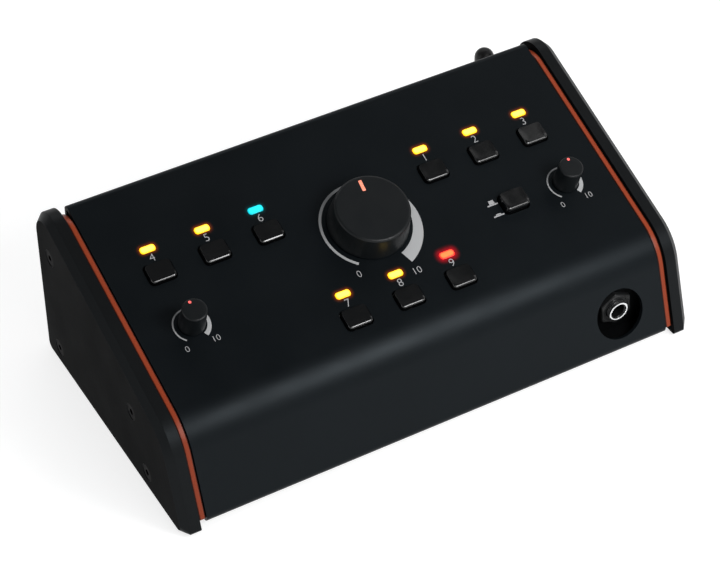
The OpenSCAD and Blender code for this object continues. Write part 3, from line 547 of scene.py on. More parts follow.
def metal(name, c, rough, depth=0.004):
    """Turned or brushed metal: fine lines along one way, with dull patches."""
    m = Mat(name)
    lines = m.noise(60.0, detail=4.0, rough=0.6, vector=m.stretch(40, 40, 900))
    patch = m.noise(120.0, detail=4.0)
    color = m.mix(m.remap(patch), rgb(*c, 0.86), rgb(*c, 1.06))
    return m.set(color=color, metal=1.0, rough=m.remap(lines, (rough - 0.06, rough + 0.1)),
                 normal=m.bump(lines, depth))


def lacquered(name, c, dark):
    """Satin lacquer on the crown; the rolled sides take painted shade, a dark colour that stands in for the
    shadow in their narrow gap.
    """
    m = Mat(name)
    crown = m.glow()
    patch = m.mix(m.remap(m.noise(30.0, detail=4.0)), rgb(*c, 0.94), rgb(*c, 1.06))
    # Painted shade: down the rolled sides the colour turns to the dark one
    color = m.mix(m.remap(crown, (0.0, 0.45), over=(0.45, 0.85)), rgb(*dark), patch)
    color = m.mix(m.remap(crown, over=(0.82, 1.0)), color, patch)
    return m.set(color=color, rough=m.remap(m.noise(60.0), (0.28, 0.36)), spec=0.2,
                 normal=m.bump(m.noise(1600.0, detail=2.0), 0.008))


def lit(name, core, edge, power):
    """A lit window: hottest in the middle, deeper in colour at its rim."""
    m = Mat(name)
    frost = m.noise(1500.0, detail=2.0)
    color = m.mix(m.remap(m.glow(), over=(0.03, 0.5)), rgb(*edge), rgb(*core))
    color = m.mix(m.remap(frost, (0.0, 0.12)), color, rgb(*edge))
    return m.set(color=rgb(*edge, 0.8), emit=color, power=power, rough=0.3, spec=0.4,
                 normal=m.bump(frost, 0.01))


def halo(name, c, power, reach):
    """The panel's own coat with painted light: emission in the lamp's colour, falling off away from its
    window.
    """
    m = Mat(name)
    fall = m.calc("POWER", m.glow(), reach)
    amount = m.calc("MULTIPLY", fall, m.remap(m.noise(900.0), (0.75, 1.2)))
    light = m.mix(amount, rgb(0, 0, 0), rgb(*c, power))
    return m.set(color=rgb(*PANEL), rough=PANEL_ROUGH, spec=PANEL_SPEC, tint=rgb(*COOL), emit=light,
                 power=1.0, normal=coat_relief(m, m.noise(COAT_GRAIN, detail=2.0)))


def marker(name, low, high, rough, glow, power):
    """Bright paint with a painted glow: emission makes it shine, though it is no lamp."""
    m = Mat(name)
    color = m.mix(m.remap(m.noise(700.0)), rgb(*low), rgb(*high))
    return m.set(color=color, rough=rough, spec=0.4, emit=rgb(*glow), power=power)


def printed(m, fac, low, high):
    """Ink between two shades, over the grain of the coat."""
    return m.set(color=m.mix(fac, rgb(*low), rgb(*high)), rough=0.5, spec=0.3,
                 normal=m.bump(m.noise(COAT_GRAIN, detail=2.0), INK_DEPTH))


def ink(name, low, high):
    m = Mat(name)
    return printed(m, m.remap(m.noise(420.0)), low, high)


def scale_ink(name, low, high):
    """Ink whose shade follows the sweep of a dial's scale."""
    m = Mat(name)
    return printed(m, m.glow(), low, high)


COOL = (0.80, 0.92, 1.0)
PANEL = (0.0036, 0.0049, 0.0060)
PANEL_ROUGH, PANEL_SPEC = 0.39, 0.14
CHEEK_BLACK = (0.0062, 0.0065, 0.0068)
COVER = coated("cover_coat", PANEL, PANEL_ROUGH, PANEL_SPEC, COOL)
CHEEK = coated("cheek_coat", CHEEK_BLACK, rough=0.42, spec=0.12, tint=COOL, peel=CHEEK_PEEL)
CHEEK_FACE = coated("cheek_face_coat", CHEEK_BLACK, rough=0.42, spec=0.003, tint=COOL, peel=CHEEK_PEEL)
REAR = coated("rear_coat", (0.0050, 0.0060, 0.0070), rough=0.5, spec=0.12, tint=COOL)
INNER = coated("inner_black", (0.0026, 0.0029, 0.0032), rough=0.6, spec=0.04)
# The accent's dark second colour is painted shade on its rolled sides
ACCENT = lacquered("accent_lacquer", (0.30, 0.048, 0.017), dark=(0.010, 0.003, 0.002))
BUTTON = moulded("button_plastic", (0.0036, 0.0040, 0.0044), rough=0.16, spec=1.0, depth=0.003)
KNOB = moulded("knob_rubberised", (0.0046, 0.0060, 0.0070), rough=0.42, spec=0.28, grain=1500.0, depth=0.016)
BLACK = moulded("black_moulding", (0.006, 0.0062, 0.0066), rough=0.4, spec=0.3)
GLOSS = moulded("gloss_moulding", (0.006, 0.006, 0.0065), rough=0.18, spec=0.5, depth=0.003)
RUBBER = moulded("foot_rubber", (0.010, 0.010, 0.010), rough=0.8, spec=0.2, grain=900.0, depth=0.03)
NUT = moulded("nut_black", (0.010, 0.0105, 0.011), rough=0.42, spec=0.3, grain=1800.0)
SCREW = moulded("screw_black", (0.0048, 0.0048, 0.0052), rough=0.34, spec=0.006, depth=0.004)
BOARD = moulded("solder_mask", (0.008, 0.10, 0.035), rough=0.3, spec=0.5, grain=600.0, depth=0.02)
WHITE = moulded("lamp_body", (0.75, 0.75, 0.70), rough=0.35, spec=0.5)
RIBBON = moulded("ribbon_grey", (0.40, 0.39, 0.37), rough=0.5, spec=0.4)
NICKEL = metal("nickel", (0.68, 0.67, 0.64), rough=0.24)
CHROME = metal("chrome", (0.86, 0.87, 0.88), rough=0.1, depth=0.001)
BRASS = metal("gilt_brass", (0.80, 0.58, 0.24), rough=0.22)
# The pointer and dots glow by emission: painted light
POINTER = marker("pointer_print", (0.86, 0.20, 0.11), (0.98, 0.36, 0.24), rough=0.42,
                 glow=(1.0, 0.30, 0.20), power=0.35)
DOT = marker("dot_print", (0.9, 0.08, 0.07), (1.0, 0.2, 0.18), rough=0.4, glow=(1.0, 0.10, 0.09), power=0.6)
INK = ink("print_grey", (0.34, 0.34, 0.3468), (0.42, 0.42, 0.4284))
SCALE_INK = scale_ink("scale_grey", (0.17, 0.175, 0.18), (0.42, 0.425, 0.43))

# ------------------------------------------------------------------ cutters
# Ends of the cutters, under and over the face that they cut
CUT_Z = (-4, 3)
DEEP_CUT_Z = (-6, 4)


def slot_cutter(w, l, r, matrix):
    """A rounded rectangle, cut through the sheet."""
    outline = rounded(w, l, r)
    return moved(loft([[Vector((p.x, p.y, z)) for p in outline] for z in CUT_Z]), matrix)


def round_cutter(profile, matrix, seg=72):
    """An (r, z) profile, turned and put in place."""
    return moved(lathe(profile, seg), matrix)


def hole(r, ends=CUT_Z):
    """The (r, z) profile of a plain hole."""
    low, high = ends
    return [(0, low), (r, low), (r, high), (0, high)]


def sink(head_r, edge_z, shank_r, cone_z, end_z):
    """The (r, z) profile of a countersunk hole; its cone runs from edge_z to cone_z."""
    return [(0, 1), (head_r, 1), (head_r, edge_z), (shank_r, cone_z), (shank_r, end_z), (0, end_z)]


# ------------------------------------------------------------------ cover
BEND_STEPS = 26
# Cut-outs as (width, length, corner radius)
CAP_SLOT = (CAP_W + 2 * CAP_GAP, CAP_L + 2 * CAP_GAP, CAP_R + CAP_GAP)
LAMP_SLOT = (LAMP_W + 0.06, LAMP_L + 0.06, LAMP_R + 0.02)


def cover_corners():
    """The outer corners in (y, z), from the base lip over the ridge to the rear lip."""
    front_foot = at_front(RIDGE_Z - FRONT_LEN * math.cos(LEAN), 0)
    back_top = at_top(DEPTH, 0)
    return [front_foot + Vector((BASE_LIP, 0)), front_foot, Vector((RIDGE_Y, RIDGE_Z)), back_top,
            back_top - Vector((0, REAR_LIP))]


def cover_sheet(corners):
    """One bent sheet: top, front and two lips."""
    radii = [0, EDGE_R, RIDGE_R, EDGE_R, 0]
    outer = path(corners, radii, BEND_STEPS)
    inner = path(inset(corners, SHEET), [max(r - SHEET, 0) for r in radii], BEND_STEPS)
    return new_object("cover_sheet", section_x(outer + inner[::-1], -HALF_W, HALF_W), Matrix.Scale(MM, 4))


def cover_openings(rear_lip_z):
    """Cutters for the keys, windows, dials, phones socket and rear screws."""
    caps = [(x, d - LAMP_TO_BUTTON) for x, d in LAMPS.values()] + [LATCH]
    cuts = [slot_cutter(*CAP_SLOT, at(TOP, *p)) for p in caps]
    cuts += [slot_cutter(*LAMP_SLOT, at(TOP, *p)) for p in LAMPS.values()]
    cuts.append(round_cutter(hole(MAIN_HOLE_R), at(TOP, *MAIN)))
    cuts += [round_cutter(hole(SMALL_HOLE_R), at(TOP, *p)) for _, p in SMALL_DIALS]
    phones = at(FRONT, PHONES_HOLE_X, -PHONES_ROW)
    cuts.append(round_cutter(hole(PHONES_HOLE_R, DEEP_CUT_Z), phones, seg=96))
    for x in CASE_SCREW_X:
        back = facing(x, RIDGE_Y + DEPTH, rear_lip_z + CASE_SCREW_RISE, -math.pi / 2, "X")
        cuts.append(round_cutter(sink(**CASE_SINK), back, seg=32))
    return join(*cuts)


fold = cover_corners()
cover = cover_sheet(fold)
carve(cover, cover_openings(fold[-1].y))
soften(cover, width=0.2, segments=3, smooth=24)
piece(cover, COVER, "case", "cover", "cover")


# ------------------------------------------------------------------ cheeks and accent plates
# A face whose normal is this far along X looks sideways
SIDEWAYS = 0.95


def side_ring(x, shrink, proud, reach, foot_z, foot_r, n=16):
    """The outline of a side plate at x, drawn in by shrink at its front, top and back."""
    h = proud - shrink
    back = DEPTH + reach - shrink
    corners = [at_front(foot_z, h), ridge_at(h), at_top(back, h), Vector((RIDGE_Y + back, foot_z))]
    radii = [foot_r, RIDGE_R + h, CHEEK_REAR_R - shrink, foot_r]
    return [Vector((x, p.x, p.y)) for p in ring(corners, radii, n)]


def cheek_screw_places():
    """The four screws of a cheek in (y, z)."""
    rear = DEPTH - SCREW_REAR
    upper = [(RIDGE_Y + d, at_top(d, 0).y - SCREW_DROP) for d in (rear, SCREW_FRONT[0])]
    return upper + [(RIDGE_Y + rear, SCREW_LOW), (RIDGE_Y + SCREW_FRONT[1], SCREW_LOW)]


def cheek(s, name):
    """A thick plate with a chamfer round its outer face; s is -1 on the left and 1 on the right."""
    def outline(x, shrink, foot_r):
        return side_ring(s * x, shrink, CHEEK_PROUD, CHEEK_REACH, CHEEK_CLEAR, foot_r)

    rings = [outline(CHEEK_IN, 0, CHEEK_FOOT_R), outline(CHEEK_OUT - CHEEK_CHAMFER, 0, CHEEK_FOOT_R),
             outline(CHEEK_OUT, CHEEK_CHAMFER, 2 * CHEEK_FOOT_R)]
    o = new_object(name, loft(rings), Matrix.Scale(MM, 4))
    places = [facing(s * CHEEK_OUT, y, z, s * math.pi / 2, "Y") for y, z in cheek_screw_places()]
    carve(o, join(*(round_cutter(sink(**CHEEK_SINK), place, seg=40) for place in places)))
    soften(o, width=0.3, segments=3, angle=25, smooth=24)
    return o


def accent(s, name, n=6):
    """A thin plate whose visible edge is crowned: its sides roll over by the bevel."""
    turns = [math.pi / 2 * k / n for k in range(n + 1)]
    roll = [(ACCENT_BEVEL * (1 - math.cos(a)), ACCENT_BEVEL * (1 - math.sin(a))) for a in turns]
    rows = roll + [(ACCENT_T - x, shrink) for x, shrink in roll[::-1]]
    rings = [side_ring(s * (HALF_W + x), shrink, -ACCENT_INSET, ACCENT_REACH, ACCENT_CLEAR, ACCENT_FOOT_R, 12)
             for x, shrink in rows]
    o = new_object(name, loft(rings), Matrix.Scale(MM, 4))
    # The crown value: 1 on the crown, falling to 0 down each rolled side, where the lacquer paints shade
    from_side = [abs(v.co.x) / MM - HALF_W for v in o.data.vertices]
    with_glow(o, [min(1.0, min(x, ACCENT_T - x) / ACCENT_BEVEL) for x in from_side])
    soften(o, smooth=50)
    return o


def matt_faces(o, material):
    """The flat faces that look along X take a duller coat than the machined edges."""
    o.data.materials.append(material)
    for p in o.data.polygons:
        if abs(p.normal.x) > SIDEWAYS:
            p.material_index = 1


for s, side in ((-1, "left"), (1, "right")):
    plate = piece(cheek(s, "cheek_%s_plate" % side), CHEEK, "case", "cheeks", "cheek_" + side)
    matt_faces(plate, CHEEK_FACE)
    piece(accent(s, "accent_%s_plate" % side), ACCENT, "case", "accent", "accent_" + side)

# ------------------------------------------------------------------ buttons
# How far the rim is drawn in at the side, back and front, and its steps as (share of that, drop)
RIM_IN = (0.16, 0.10, 0.62)
RIM_STEPS = ((0, 0.62), (0.08, 0.44), (0.2, 0.3), (0.85, 0.07), (1.0, 0.02), (1.15, 0.0))
# The dished top: drawn in at the side, back and front, and the drop
DISH = ((1.2, 1.2, 1.6, 0.03), (3.0, 3.0, 3.2, 0.08))


def shrunk(p, side, back, front, z):
    """A point of the cap's outline, drawn in by side, back and front."""
    near = 0.5 - p.y / CAP_L
    return Vector((p.x * (1 - 2 * side / CAP_W), p.y - back * (1 - near) + front * near, z))


def button(name, x, d, h, stem_end, body):
    """A cap with a crisp rim, rounded most along its front, a faintly dished top, a flange and a stem."""
    rows = [(0, 0, 0, CAP_SKIRT + h)]
    rows += [(*(inward * share for inward in RIM_IN), drop) for share, drop in RIM_STEPS]
    rows += DISH
    outline = rounded(CAP_W, CAP_L, CAP_R)
    cap = loft([[shrunk(p, *row[:3], h - row[3]) for p in outline] for row in rows])
    flange = stack(rounded(CAP_W + 2 * FLANGE_W, CAP_L + 2 * FLANGE_W, CAP_R, 4),
                   [(0, -CAP_SKIRT), (0, -SHEET - FLANGE_DROP)])
    stem = stack(rounded(STEM_W, STEM_W, STEM_R, 2), [(0, stem_end), (0, -CAP_SKIRT)])
    o = new_object(name + "_cap", join(cap, flange, stem), at(TOP, x, d))
    soften(o, smooth=40)
    return piece(o, BUTTON, body, "button_caps", name)


for key, (x, d) in LAMPS.items():
    button("button_" + key, x, d - LAMP_TO_BUTTON, CAP_H, STEM_END, "key_" + key)
button("latch_button", *LATCH, LATCH_H, LATCH_STEM_END, "latch_key")

# ------------------------------------------------------------------ lamp windows with their painted glow on the panel
# core, edge and power light the windows; glow, glow_power, spread and reach paint the lamp's light onto the
# panel round each window
LIGHTS = {"amber": dict(core=(1.0, 0.98, 0.20), edge=(1.0, 0.50, 0.0), power=1.25, glow=(1.0, 0.15, 0.0),
                        glow_power=0.20, spread=2.1, reach=2.8),
          "cyan": dict(core=(0.03, 0.86, 0.86), edge=(0.0, 0.45, 0.55), power=1.0, glow=(0.0, 0.20, 0.22),
                       glow_power=0.22, spread=2.2, reach=2.8),
          "red": dict(core=(1.0, 0.30, 0.07), edge=(1.0, 0.03, 0.02), power=1.15, glow=(1.0, 0.0, 0.02),
                      glow_power=0.5, spread=3.0, reach=2.2)}
WINDOW_NODES = {"amber": "amber_windows", "cyan": "cyan_window", "red": "red_window"}
COLOUR_OF = {key: "amber" for key in LAMPS}
COLOUR_OF.update(left_3="cyan", lower_3="red")
# The glass from its foot over its domed edge to its flat top, as (inset, z)
DOME = ((0, -6), (0, 0.02), (0.07, 0.13), (0.25, 0.19), (0.7, 0.2), (1.2, 0.2), (1.62, 0.2))
GLOW_STEPS = (0.0, 0.06, 0.14, 0.25, 0.38, 0.52, 0.68, 0.84, 1.0)
GLOW_Z, GLOW_FALL = 0.02, 0.012
GLOW_GAP = 0.1


def rim_distance(x, d, half_x, half_d):
    """The distance of a point from a rectangle about the origin, 0 inside it."""
    return math.hypot(max(abs(x) - half_x, 0), max(abs(d) - half_d, 0))


def windows(colour, keys, material):
    """The windows of one colour; their glow value is 1 in the middle and 0 at the rim."""
    w, l = LAMP_W - 2 * WINDOW_FIT, LAMP_L - 2 * WINDOW_FIT
    outline = rounded(w, l, LAMP_R - WINDOW_FIT)
    glass = join(*(moved(stack(outline, DOME), at(TOP, *LAMPS[key])) for key in keys))
    o = new_object(colour + "_window_glass", glass)
    to_panel = TOP.inverted()
    values = []
    for v in o.data.vertices:
        p = to_panel @ v.co
        near = min(rim_distance(p.x - LAMPS[key][0], p.y - LAMPS[key][1], (w - l) / 2, 0) for key in keys)
        values.append(max(0.0, 1.0 - near / (l / 2)))
    with_glow(o, values)
    soften(o, smooth=50)
    return piece(o, material, "case", WINDOW_NODES[colour], WINDOW_NODES[colour])


def glow_patch(key, spread, material):
    """A thin ring of coat round a window, carrying the lamp's painted light."""
    rings = []
    for share in GLOW_STEPS:
        out = spread * share
        outline = rounded(LAMP_W + GLOW_GAP + 2 * out, LAMP_L + GLOW_GAP + 2 * out, LAMP_R + out, 10)
        rings.append([Vector((p.x, p.y, GLOW_Z - GLOW_FALL * share)) for p in outline])
    o = new_object("glow_" + key, face_up(loft(rings, caps=False)))
    half_x, half_d = LAMP_W / 2 - LAMP_R, LAMP_L / 2 - LAMP_R
    values = [1 - (rim_distance(v.co.x, v.co.y, half_x, half_d) - LAMP_R) / spread for v in o.data.vertices]
    o.data.transform(at(TOP, *LAMPS[key]))
    with_glow(o, [max(0.0, min(1.0, v)) for v in values])
    soften(o)
    return piece(o, material, "case", "cover")


for colour, light in LIGHTS.items():
    keys = [key for key in LAMPS if COLOUR_OF[key] == colour]
    windows(colour, keys, lit(colour + "_window_lit", light["core"], light["edge"], light["power"]))
    # Each lamp's light on the panel round its window is painted, as emission in a thin ring of coat
    coat = halo(colour + "_glow", light["glow"], light["glow_power"], light["reach"])
    for key in keys:
        glow_patch(key, light["spread"], coat)

# ------------------------------------------------------------------ dials
MAIN_KNOB = dict(d=MAIN_D, top_d=MAIN_TOP_D, h=MAIN_H, rim=1.3, recess_r=14.0, recess_h=5.5, dish_r=14.0)
SMALL_KNOB = dict(d=SMALL_D, top_d=SMALL_TOP_D, h=SMALL_H, rim=0.8, recess_r=3.8, recess_h=1.6, dish_r=2.675)
# The rolled foot as (distance in from the foot's radius, z); above it the side leans in
KNOB_FOOT = ((0.35, 0.6), (0.1, 0.7), (0, 0.95))
LEAN_FROM = 0.9
# How far the dished top lies below the knob's height, at its edge and in its middle
DISH_EDGE, DISH_MIDDLE = 0.03, 0.05
# Marks on the knobs: sizes, distance from the edge of the top, and turn in degrees
POINTER_W, POINTER_L, POINTER_R = 1.5, 5.4, 0.25
POINTER_LEVELS = ((0, -0.03), (0, 0.03), (0.05, 0.05))
POINTER_EDGE = 2.2
POINTER_TURN = -5
DOT_R, DOT_EDGE = 0.65, 0.9
DOT_TURN = {"left": 7, "right": -9}


def knob_profile(d, top_d, h, rim, recess_r, recess_h, dish_r, n=7):
    """A knob in (r, z): blind bore, recess, rolled foot, leaning side, rounded rim and dished top."""
    bore_r, foot_r, top_r = SHAFT_D / 2, d / 2, top_d / 2
    edge_r = top_r + (foot_r - top_r) / (h - LEAN_FROM) * rim
    edge_z = h - rim
    out = [(0, h - KNOB_WALL), (bore_r, h - KNOB_WALL), (bore_r, recess_h), (recess_r, recess_h),
           (recess_r, DIAL_GAP)]
    out += [(foot_r - inward, z) for inward, z in KNOB_FOOT]
    out.append((edge_r, edge_z))
    for k in range(1, n + 1):
        a = math.pi / 2 * k / n
        out.append((edge_r - rim + rim * math.cos(a), edge_z + rim * math.sin(a)))
    return out + [(dish_r, h - DISH_EDGE), (0, h - DISH_MIDDLE)]


def knob(name, place, size):
    o = new_object(name + "_knob_skin", lathe(knob_profile(**size), seg=128), at(TOP, *place))
    soften(o, smooth=38)
    return piece(o, KNOB, name + "_dial", "knobs", name + "_knob")


def on_knob(bm, turn, distance, h):
    """Moves a mark to its distance from the axis on a knob's top, turned by degrees."""
    return moved(bm, Matrix.Rotation(math.radians(turn), 4, "Z") @ Matrix.Translation((0, distance, h)))


def main_pointer():
    """The bar on the main dial."""
    bar = stack(rounded(POINTER_W, POINTER_L, POINTER_R, 4), POINTER_LEVELS)
    on_knob(bar, POINTER_TURN, MAIN_TOP_D / 2 - POINTER_EDGE - POINTER_L / 2, MAIN_H)
    o = new_object("main_pointer_print", bar, at(TOP, *MAIN))
    return piece(o, POINTER, "main_dial", "pointers", "main_pointer")


def small_dot(name, place):
    """The dot on a small dial, slightly domed."""
    profile = [(0, -0.05), (DOT_R - 0.03, -0.05), (DOT_R, 0.02), (DOT_R - 0.05, 0.05), (0, 0.06)]
    dot = on_knob(lathe(profile, seg=32), DOT_TURN[name], SMALL_TOP_D / 2 - DOT_R - DOT_EDGE, SMALL_H)
    o = new_object(name + "_dot_print", dot, at(TOP, *place))
    return piece(o, DOT, name + "_dial", "pointers", name + "_dot")


knob("main", MAIN, MAIN_KNOB)
for name, place in SMALL_DIALS:
    knob(name, place, SMALL_KNOB)
main_pointer()
for name, place in SMALL_DIALS:
    small_dot(name, place)

# ------------------------------------------------------------------ prints on the panel
SCALE_Z, PRINT_Z = 0.015, 0.03
# The share of the sweep where a scale is darkest, and how it fades from there and widens
DARK_AT, FADE_POWER, WIDEN_POWER = 0.375, 0.7, 0.85
# Start and clockwise sweep in degrees, and the radii as (start, end)
MAIN_SCALE = dict(start=231, sweep=301, r_in=(20.0, 19.4), r_out=(21.2, 25.5), widen=0.64, n=90)
SMALL_SCALE = dict(start=230, sweep=290, r_in=(7.45, 6.3), r_out=(8.1, 8.4), widen=0.6, n=60)
# Numerals under the windows and at the ends of the scales, and the glyphs beside the latching button
STROKE_OFFSET, CURVE_STEPS = -0.011, 6
LABEL_DROP, LABEL_SIZE = 4.6, 5.4
LABEL_ORDER = ("right_1", "right_2", "right_3", "left_1", "left_2", "left_3", "lower_1", "lower_2", "lower_3")
END_X, END_DROP, END_SIZE = 6.6, 9.8, 4.0
MAIN_ZERO, MAIN_TEN, MAIN_END_SIZE = (-15.2, -20.6), (8.6, -28.6), 4.6
GLYPH_X = 56.4
GLYPH_BASE_W, GLYPH_BASE_H = 5.2, 0.65
GLYPH_CAP_W, GLYPH_CAP_TOP_W, GLYPH_CAP_FOOT = 2.7, 2.4, 0.75
KEY_OUT, KEY_IN = dict(rise=1.9, d=45.0), dict(rise=0.6, d=39.2)


def between(pair, share):
    return pair[0] + (pair[1] - pair[0]) * share


def scale(name, place, start, sweep, r_in, r_out, widen, n):
    """A printed sweep in n steps that widens past the share widen."""
    bm = bmesh.new()
    rows, values = [], []
    for k in range(n + 1):
        t = k / n
        share = max(0.0, (t - widen) / (1 - widen)) ** WIDEN_POWER
        a = math.radians(start - sweep * t)
        rows.append([bm.verts.new((r * math.cos(a), r * math.sin(a), SCALE_Z))
                     for r in (between(r_in, share), between(r_out, share))])
        values += [abs(2 * (t - DARK_AT)) ** FADE_POWER] * 2
    for a, b in zip(rows, rows[1:]):
        bm.faces.new((a[0], a[1], b[1], b[0]))
    o = new_object(name, face_up(bm), at(TOP, *place))
    with_glow(o, values)
    return piece(o, SCALE_INK, "case", "cover")


def figure(name, text, x, d, size):
    """A printed numeral, centred on its place."""
    curve = bpy.data.curves.new(name, "FONT")
    curve.body, curve.size, curve.align_x, curve.align_y = text, size, "CENTER", "CENTER"
    curve.resolution_u = CURVE_STEPS
    curve.offset = STROKE_OFFSET * size
    o = linked(name, curve)
    me = final_mesh(o)
    bpy.data.objects.remove(o)
    me.transform(at(TOP, x, d) @ Matrix.Translation((0, 0, PRINT_Z)))
    return piece(linked(name, me), INK, "case", "cover")


def print_shape(name, outlines, x, d):
    """Flat printed shapes, each a list of (x, y) points."""
    bm = bmesh.new()
    for pts in outlines:
        bm.faces.new([bm.verts.new((px, py, PRINT_Z)) for px, py in pts])
    return piece(new_object(name, face_up(bm), at(TOP, x, d)), INK, "case", "cover")


def tapered(low_w, top_w, low, top):
    """A four-cornered outline, centred, that tapers from low_w to top_w."""
    return [(-low_w / 2, low), (low_w / 2, low), (top_w / 2, top), (-top_w / 2, top)]


def key_glyph(name, rise, d):
    """A key seen from the side: a cap that stands by rise over a base line."""
    base = tapered(GLYPH_BASE_W, GLYPH_BASE_W, 0, GLYPH_BASE_H)
    cap = tapered(GLYPH_CAP_W, GLYPH_CAP_TOP_W, GLYPH_CAP_FOOT, GLYPH_CAP_FOOT + rise)
    return print_shape(name, [base, cap], GLYPH_X, d)


scale("main_scale", MAIN, **MAIN_SCALE)
for name, place in SMALL_DIALS:
    scale(name + "_scale", place, **SMALL_SCALE)
for k, key in enumerate(LABEL_ORDER):
    x, d = LAMPS[key]
    figure("numeral_" + key, str(k + 1), x, d - LABEL_DROP, LABEL_SIZE)
for name, (x, d) in SMALL_DIALS:
    figure(name + "_zero", "0", x - END_X, d - END_DROP, END_SIZE)
    figure(name + "_ten", "10", x + END_X, d - END_DROP, END_SIZE)
figure("main_zero", "0", MAIN[0] + MAIN_ZERO[0], MAIN[1] + MAIN_ZERO[1], MAIN_END_SIZE)
figure("main_ten", "10", MAIN[0] + MAIN_TEN[0], MAIN[1] + MAIN_TEN[1], MAIN_END_SIZE)
key_glyph("key_out_glyph", **KEY_OUT)
key_glyph("key_in_glyph", **KEY_IN)

# ------------------------------------------------------------------ phones socket
# Radii inside the chromed sleeve and at its mouth, and the size and place of its contacts
SLEEVE_R, MOUTH_R = 4.0, 3.75
TAB_W, TAB_H, TAB_R, TAB_Z = 0.7, 0.9, 0.15, (-1.3, -0.4)
NUT_BORE_R, NUT_BORE_Z = 4.9, (-5, 1)
NUT_CHAMFER = 0.5
# The stepped recess round the nut's bore, a closed (r, z) profile
NUT_RECESS = ((4.8, 1), (6.9, 1), (6.9, -0.25), (6.2, -0.25), (6.0, -0.6), (4.8, -0.6), (4.8, 1))
THREAD_Y, THREAD_LOW, THREAD_PITCH = NUT_Y - 0.6, -2.6, 0.8
THREAD_FOOT_R, THREAD_CREST_R, FLANK = 4.87, 5.05, 0.2
SOCKET_MOUTH = facing(PHONES_X, NOSE_Y, PHONES_Z, math.pi / 2, "X")
NUT_FACE = facing(PHONES_X, NUT_Y, PHONES_Z, math.pi / 2, "X")
THREAD_FACE = facing(PHONES_X, THREAD_Y, PHONES_Z, math.pi / 2, "X")


def socket_ring():
    """The chromed sleeve, with a rounded mouth."""
    nose = lathe([(SLEEVE_R, -NOSE_L), (NOSE_R, -NOSE_L), (NOSE_R, -0.5), (NOSE_R - 0.15, -0.12),
                  (NOSE_R - 0.4, 0), (MOUTH_R + 0.4, 0), (MOUTH_R + 0.15, -0.1), (MOUTH_R, -0.45),
                  (MOUTH_R, -0.9), (SLEEVE_R, -1.0), (SLEEVE_R, -NOSE_L)])
    o = new_object("phones_nose_ring", nose, SOCKET_MOUTH)
    soften(o)
    return piece(o, CHROME, "case", "phones_nose", "phones_nose")


def socket_liner():
    """The black tube inside the sleeve."""
    outer_r = SLEEVE_R - 0.02
    liner = lathe([(BORE_R, -NOSE_L), (outer_r, -NOSE_L), (outer_r, -1.05), (MOUTH_R - 0.03, -0.85),
                   (BORE_R + 0.1, -0.85), (BORE_R, -1.0), (BORE_R, -NOSE_L)])
    o = new_object("phones_nose_liner", liner, SOCKET_MOUTH)
    soften(o)
    return piece(o, BLACK, "case", "phones_jack")


def contact_tab(turn):
    """A small contact that shows at the mouth, turn degrees round it."""
    tab = stack(rounded(TAB_W, TAB_H, TAB_R, 3), [(0, z) for z in TAB_Z])
    moved(tab, Matrix.Translation((0, MOUTH_R, 0)))
    moved(tab, Matrix.Rotation(math.radians(turn - 90), 4, "Z"))
    return piece(new_object("phones_nose_tab_%d" % -turn, tab, SOCKET_MOUTH), BLACK, "case", "phones_jack")


def hexagon(r, z, corner=1.0, n=4):
    """A hexagon across corners 2 r, its corners rounded by corner."""
    turns = [math.radians(NUT_TURN + 60 * k) for k in range(6)]
    pts = [Vector((r * math.cos(a), r * math.sin(a))) for a in turns]
    return [Vector((p.x, p.y, z)) for p in ring(pts, [corner] * 6, n)]


def socket_nut():
    """A hexagon nut with a chamfered face and a stepped recess round its bore."""
    corner_r = NUT_AF / 2 / math.cos(math.pi / 6)
    rings = [hexagon(corner_r, -NUT_H), hexagon(corner_r, -NUT_CHAMFER), hexagon(corner_r - NUT_CHAMFER, 0)]
    o = new_object("phones_nut_hex", loft(rings), NUT_FACE)
    carve(o, round_cutter(hole(NUT_BORE_R, NUT_BORE_Z), NUT_FACE), round_cutter(NUT_RECESS, NUT_FACE))
    soften(o, width=0.15, angle=30, smooth=30)
    return piece(o, NUT, "case", "phones_nut", "phones_nut")


def socket_thread():
    """Three ridges of thread in the nut's bore and recess."""
    turns = []
    for k in range(3):
        z = THREAD_LOW + THREAD_PITCH * k
        turns.append(lathe([(THREAD_FOOT_R, z), (THREAD_CREST_R, z + FLANK), (THREAD_CREST_R, z + 2 * FLANK),
                            (THREAD_FOOT_R, z + 3 * FLANK)], seg=72))
    o = new_object("phones_thread", join(*turns), THREAD_FACE)
    soften(o, smooth=50)
    return piece(o, NUT, "case", "phones_nut")


socket_ring()
socket_liner()
for turn in (-115, -65):
    contact_tab(turn)
socket_nut()
socket_thread()

# ------------------------------------------------------------------ pieces that keep their CAD form
PLAIN_PIECES = (
    (("chassis", "phones_bracket"), INNER, 0.2),
    (("rear_panel",), REAR, 0.15),
    (("cheek_screws_left", "cheek_screws_right", "case_screws"), SCREW, 0.12),
    (("press_nuts", "line_jack_nuts", "main_pot_nut"), NICKEL, 0.2),
    (("feet",), RUBBER, 0.3),
    (("board_standoffs", "antenna_socket"), BRASS, 0.12),
    (("phones_jack", "line_jacks", "aux_jack", "dc_inlet"), BLACK, 0.2),
    (("button_switches", "latch_switch", "power_switch"), BLACK, 0.2),
    (("power_rocker",), GLOSS, 0.4),
    (("antenna_knuckle", "antenna_stub"), BLACK, 0.3),
    (("main_pot", "left_pot", "right_pot"), NICKEL, 0.2),
    (("main_shaft", "left_shaft", "right_shaft"), NICKEL, 0.1),
    (("main_board", "rear_board"), BOARD, 0.1),
    (("lamp_bodies",), WHITE, 0.1),
    (("ribbon_cable",), RIBBON, 0.1))
for nodes, material, width in PLAIN_PIECES:
    for node in nodes:
        dress(node, material, width)

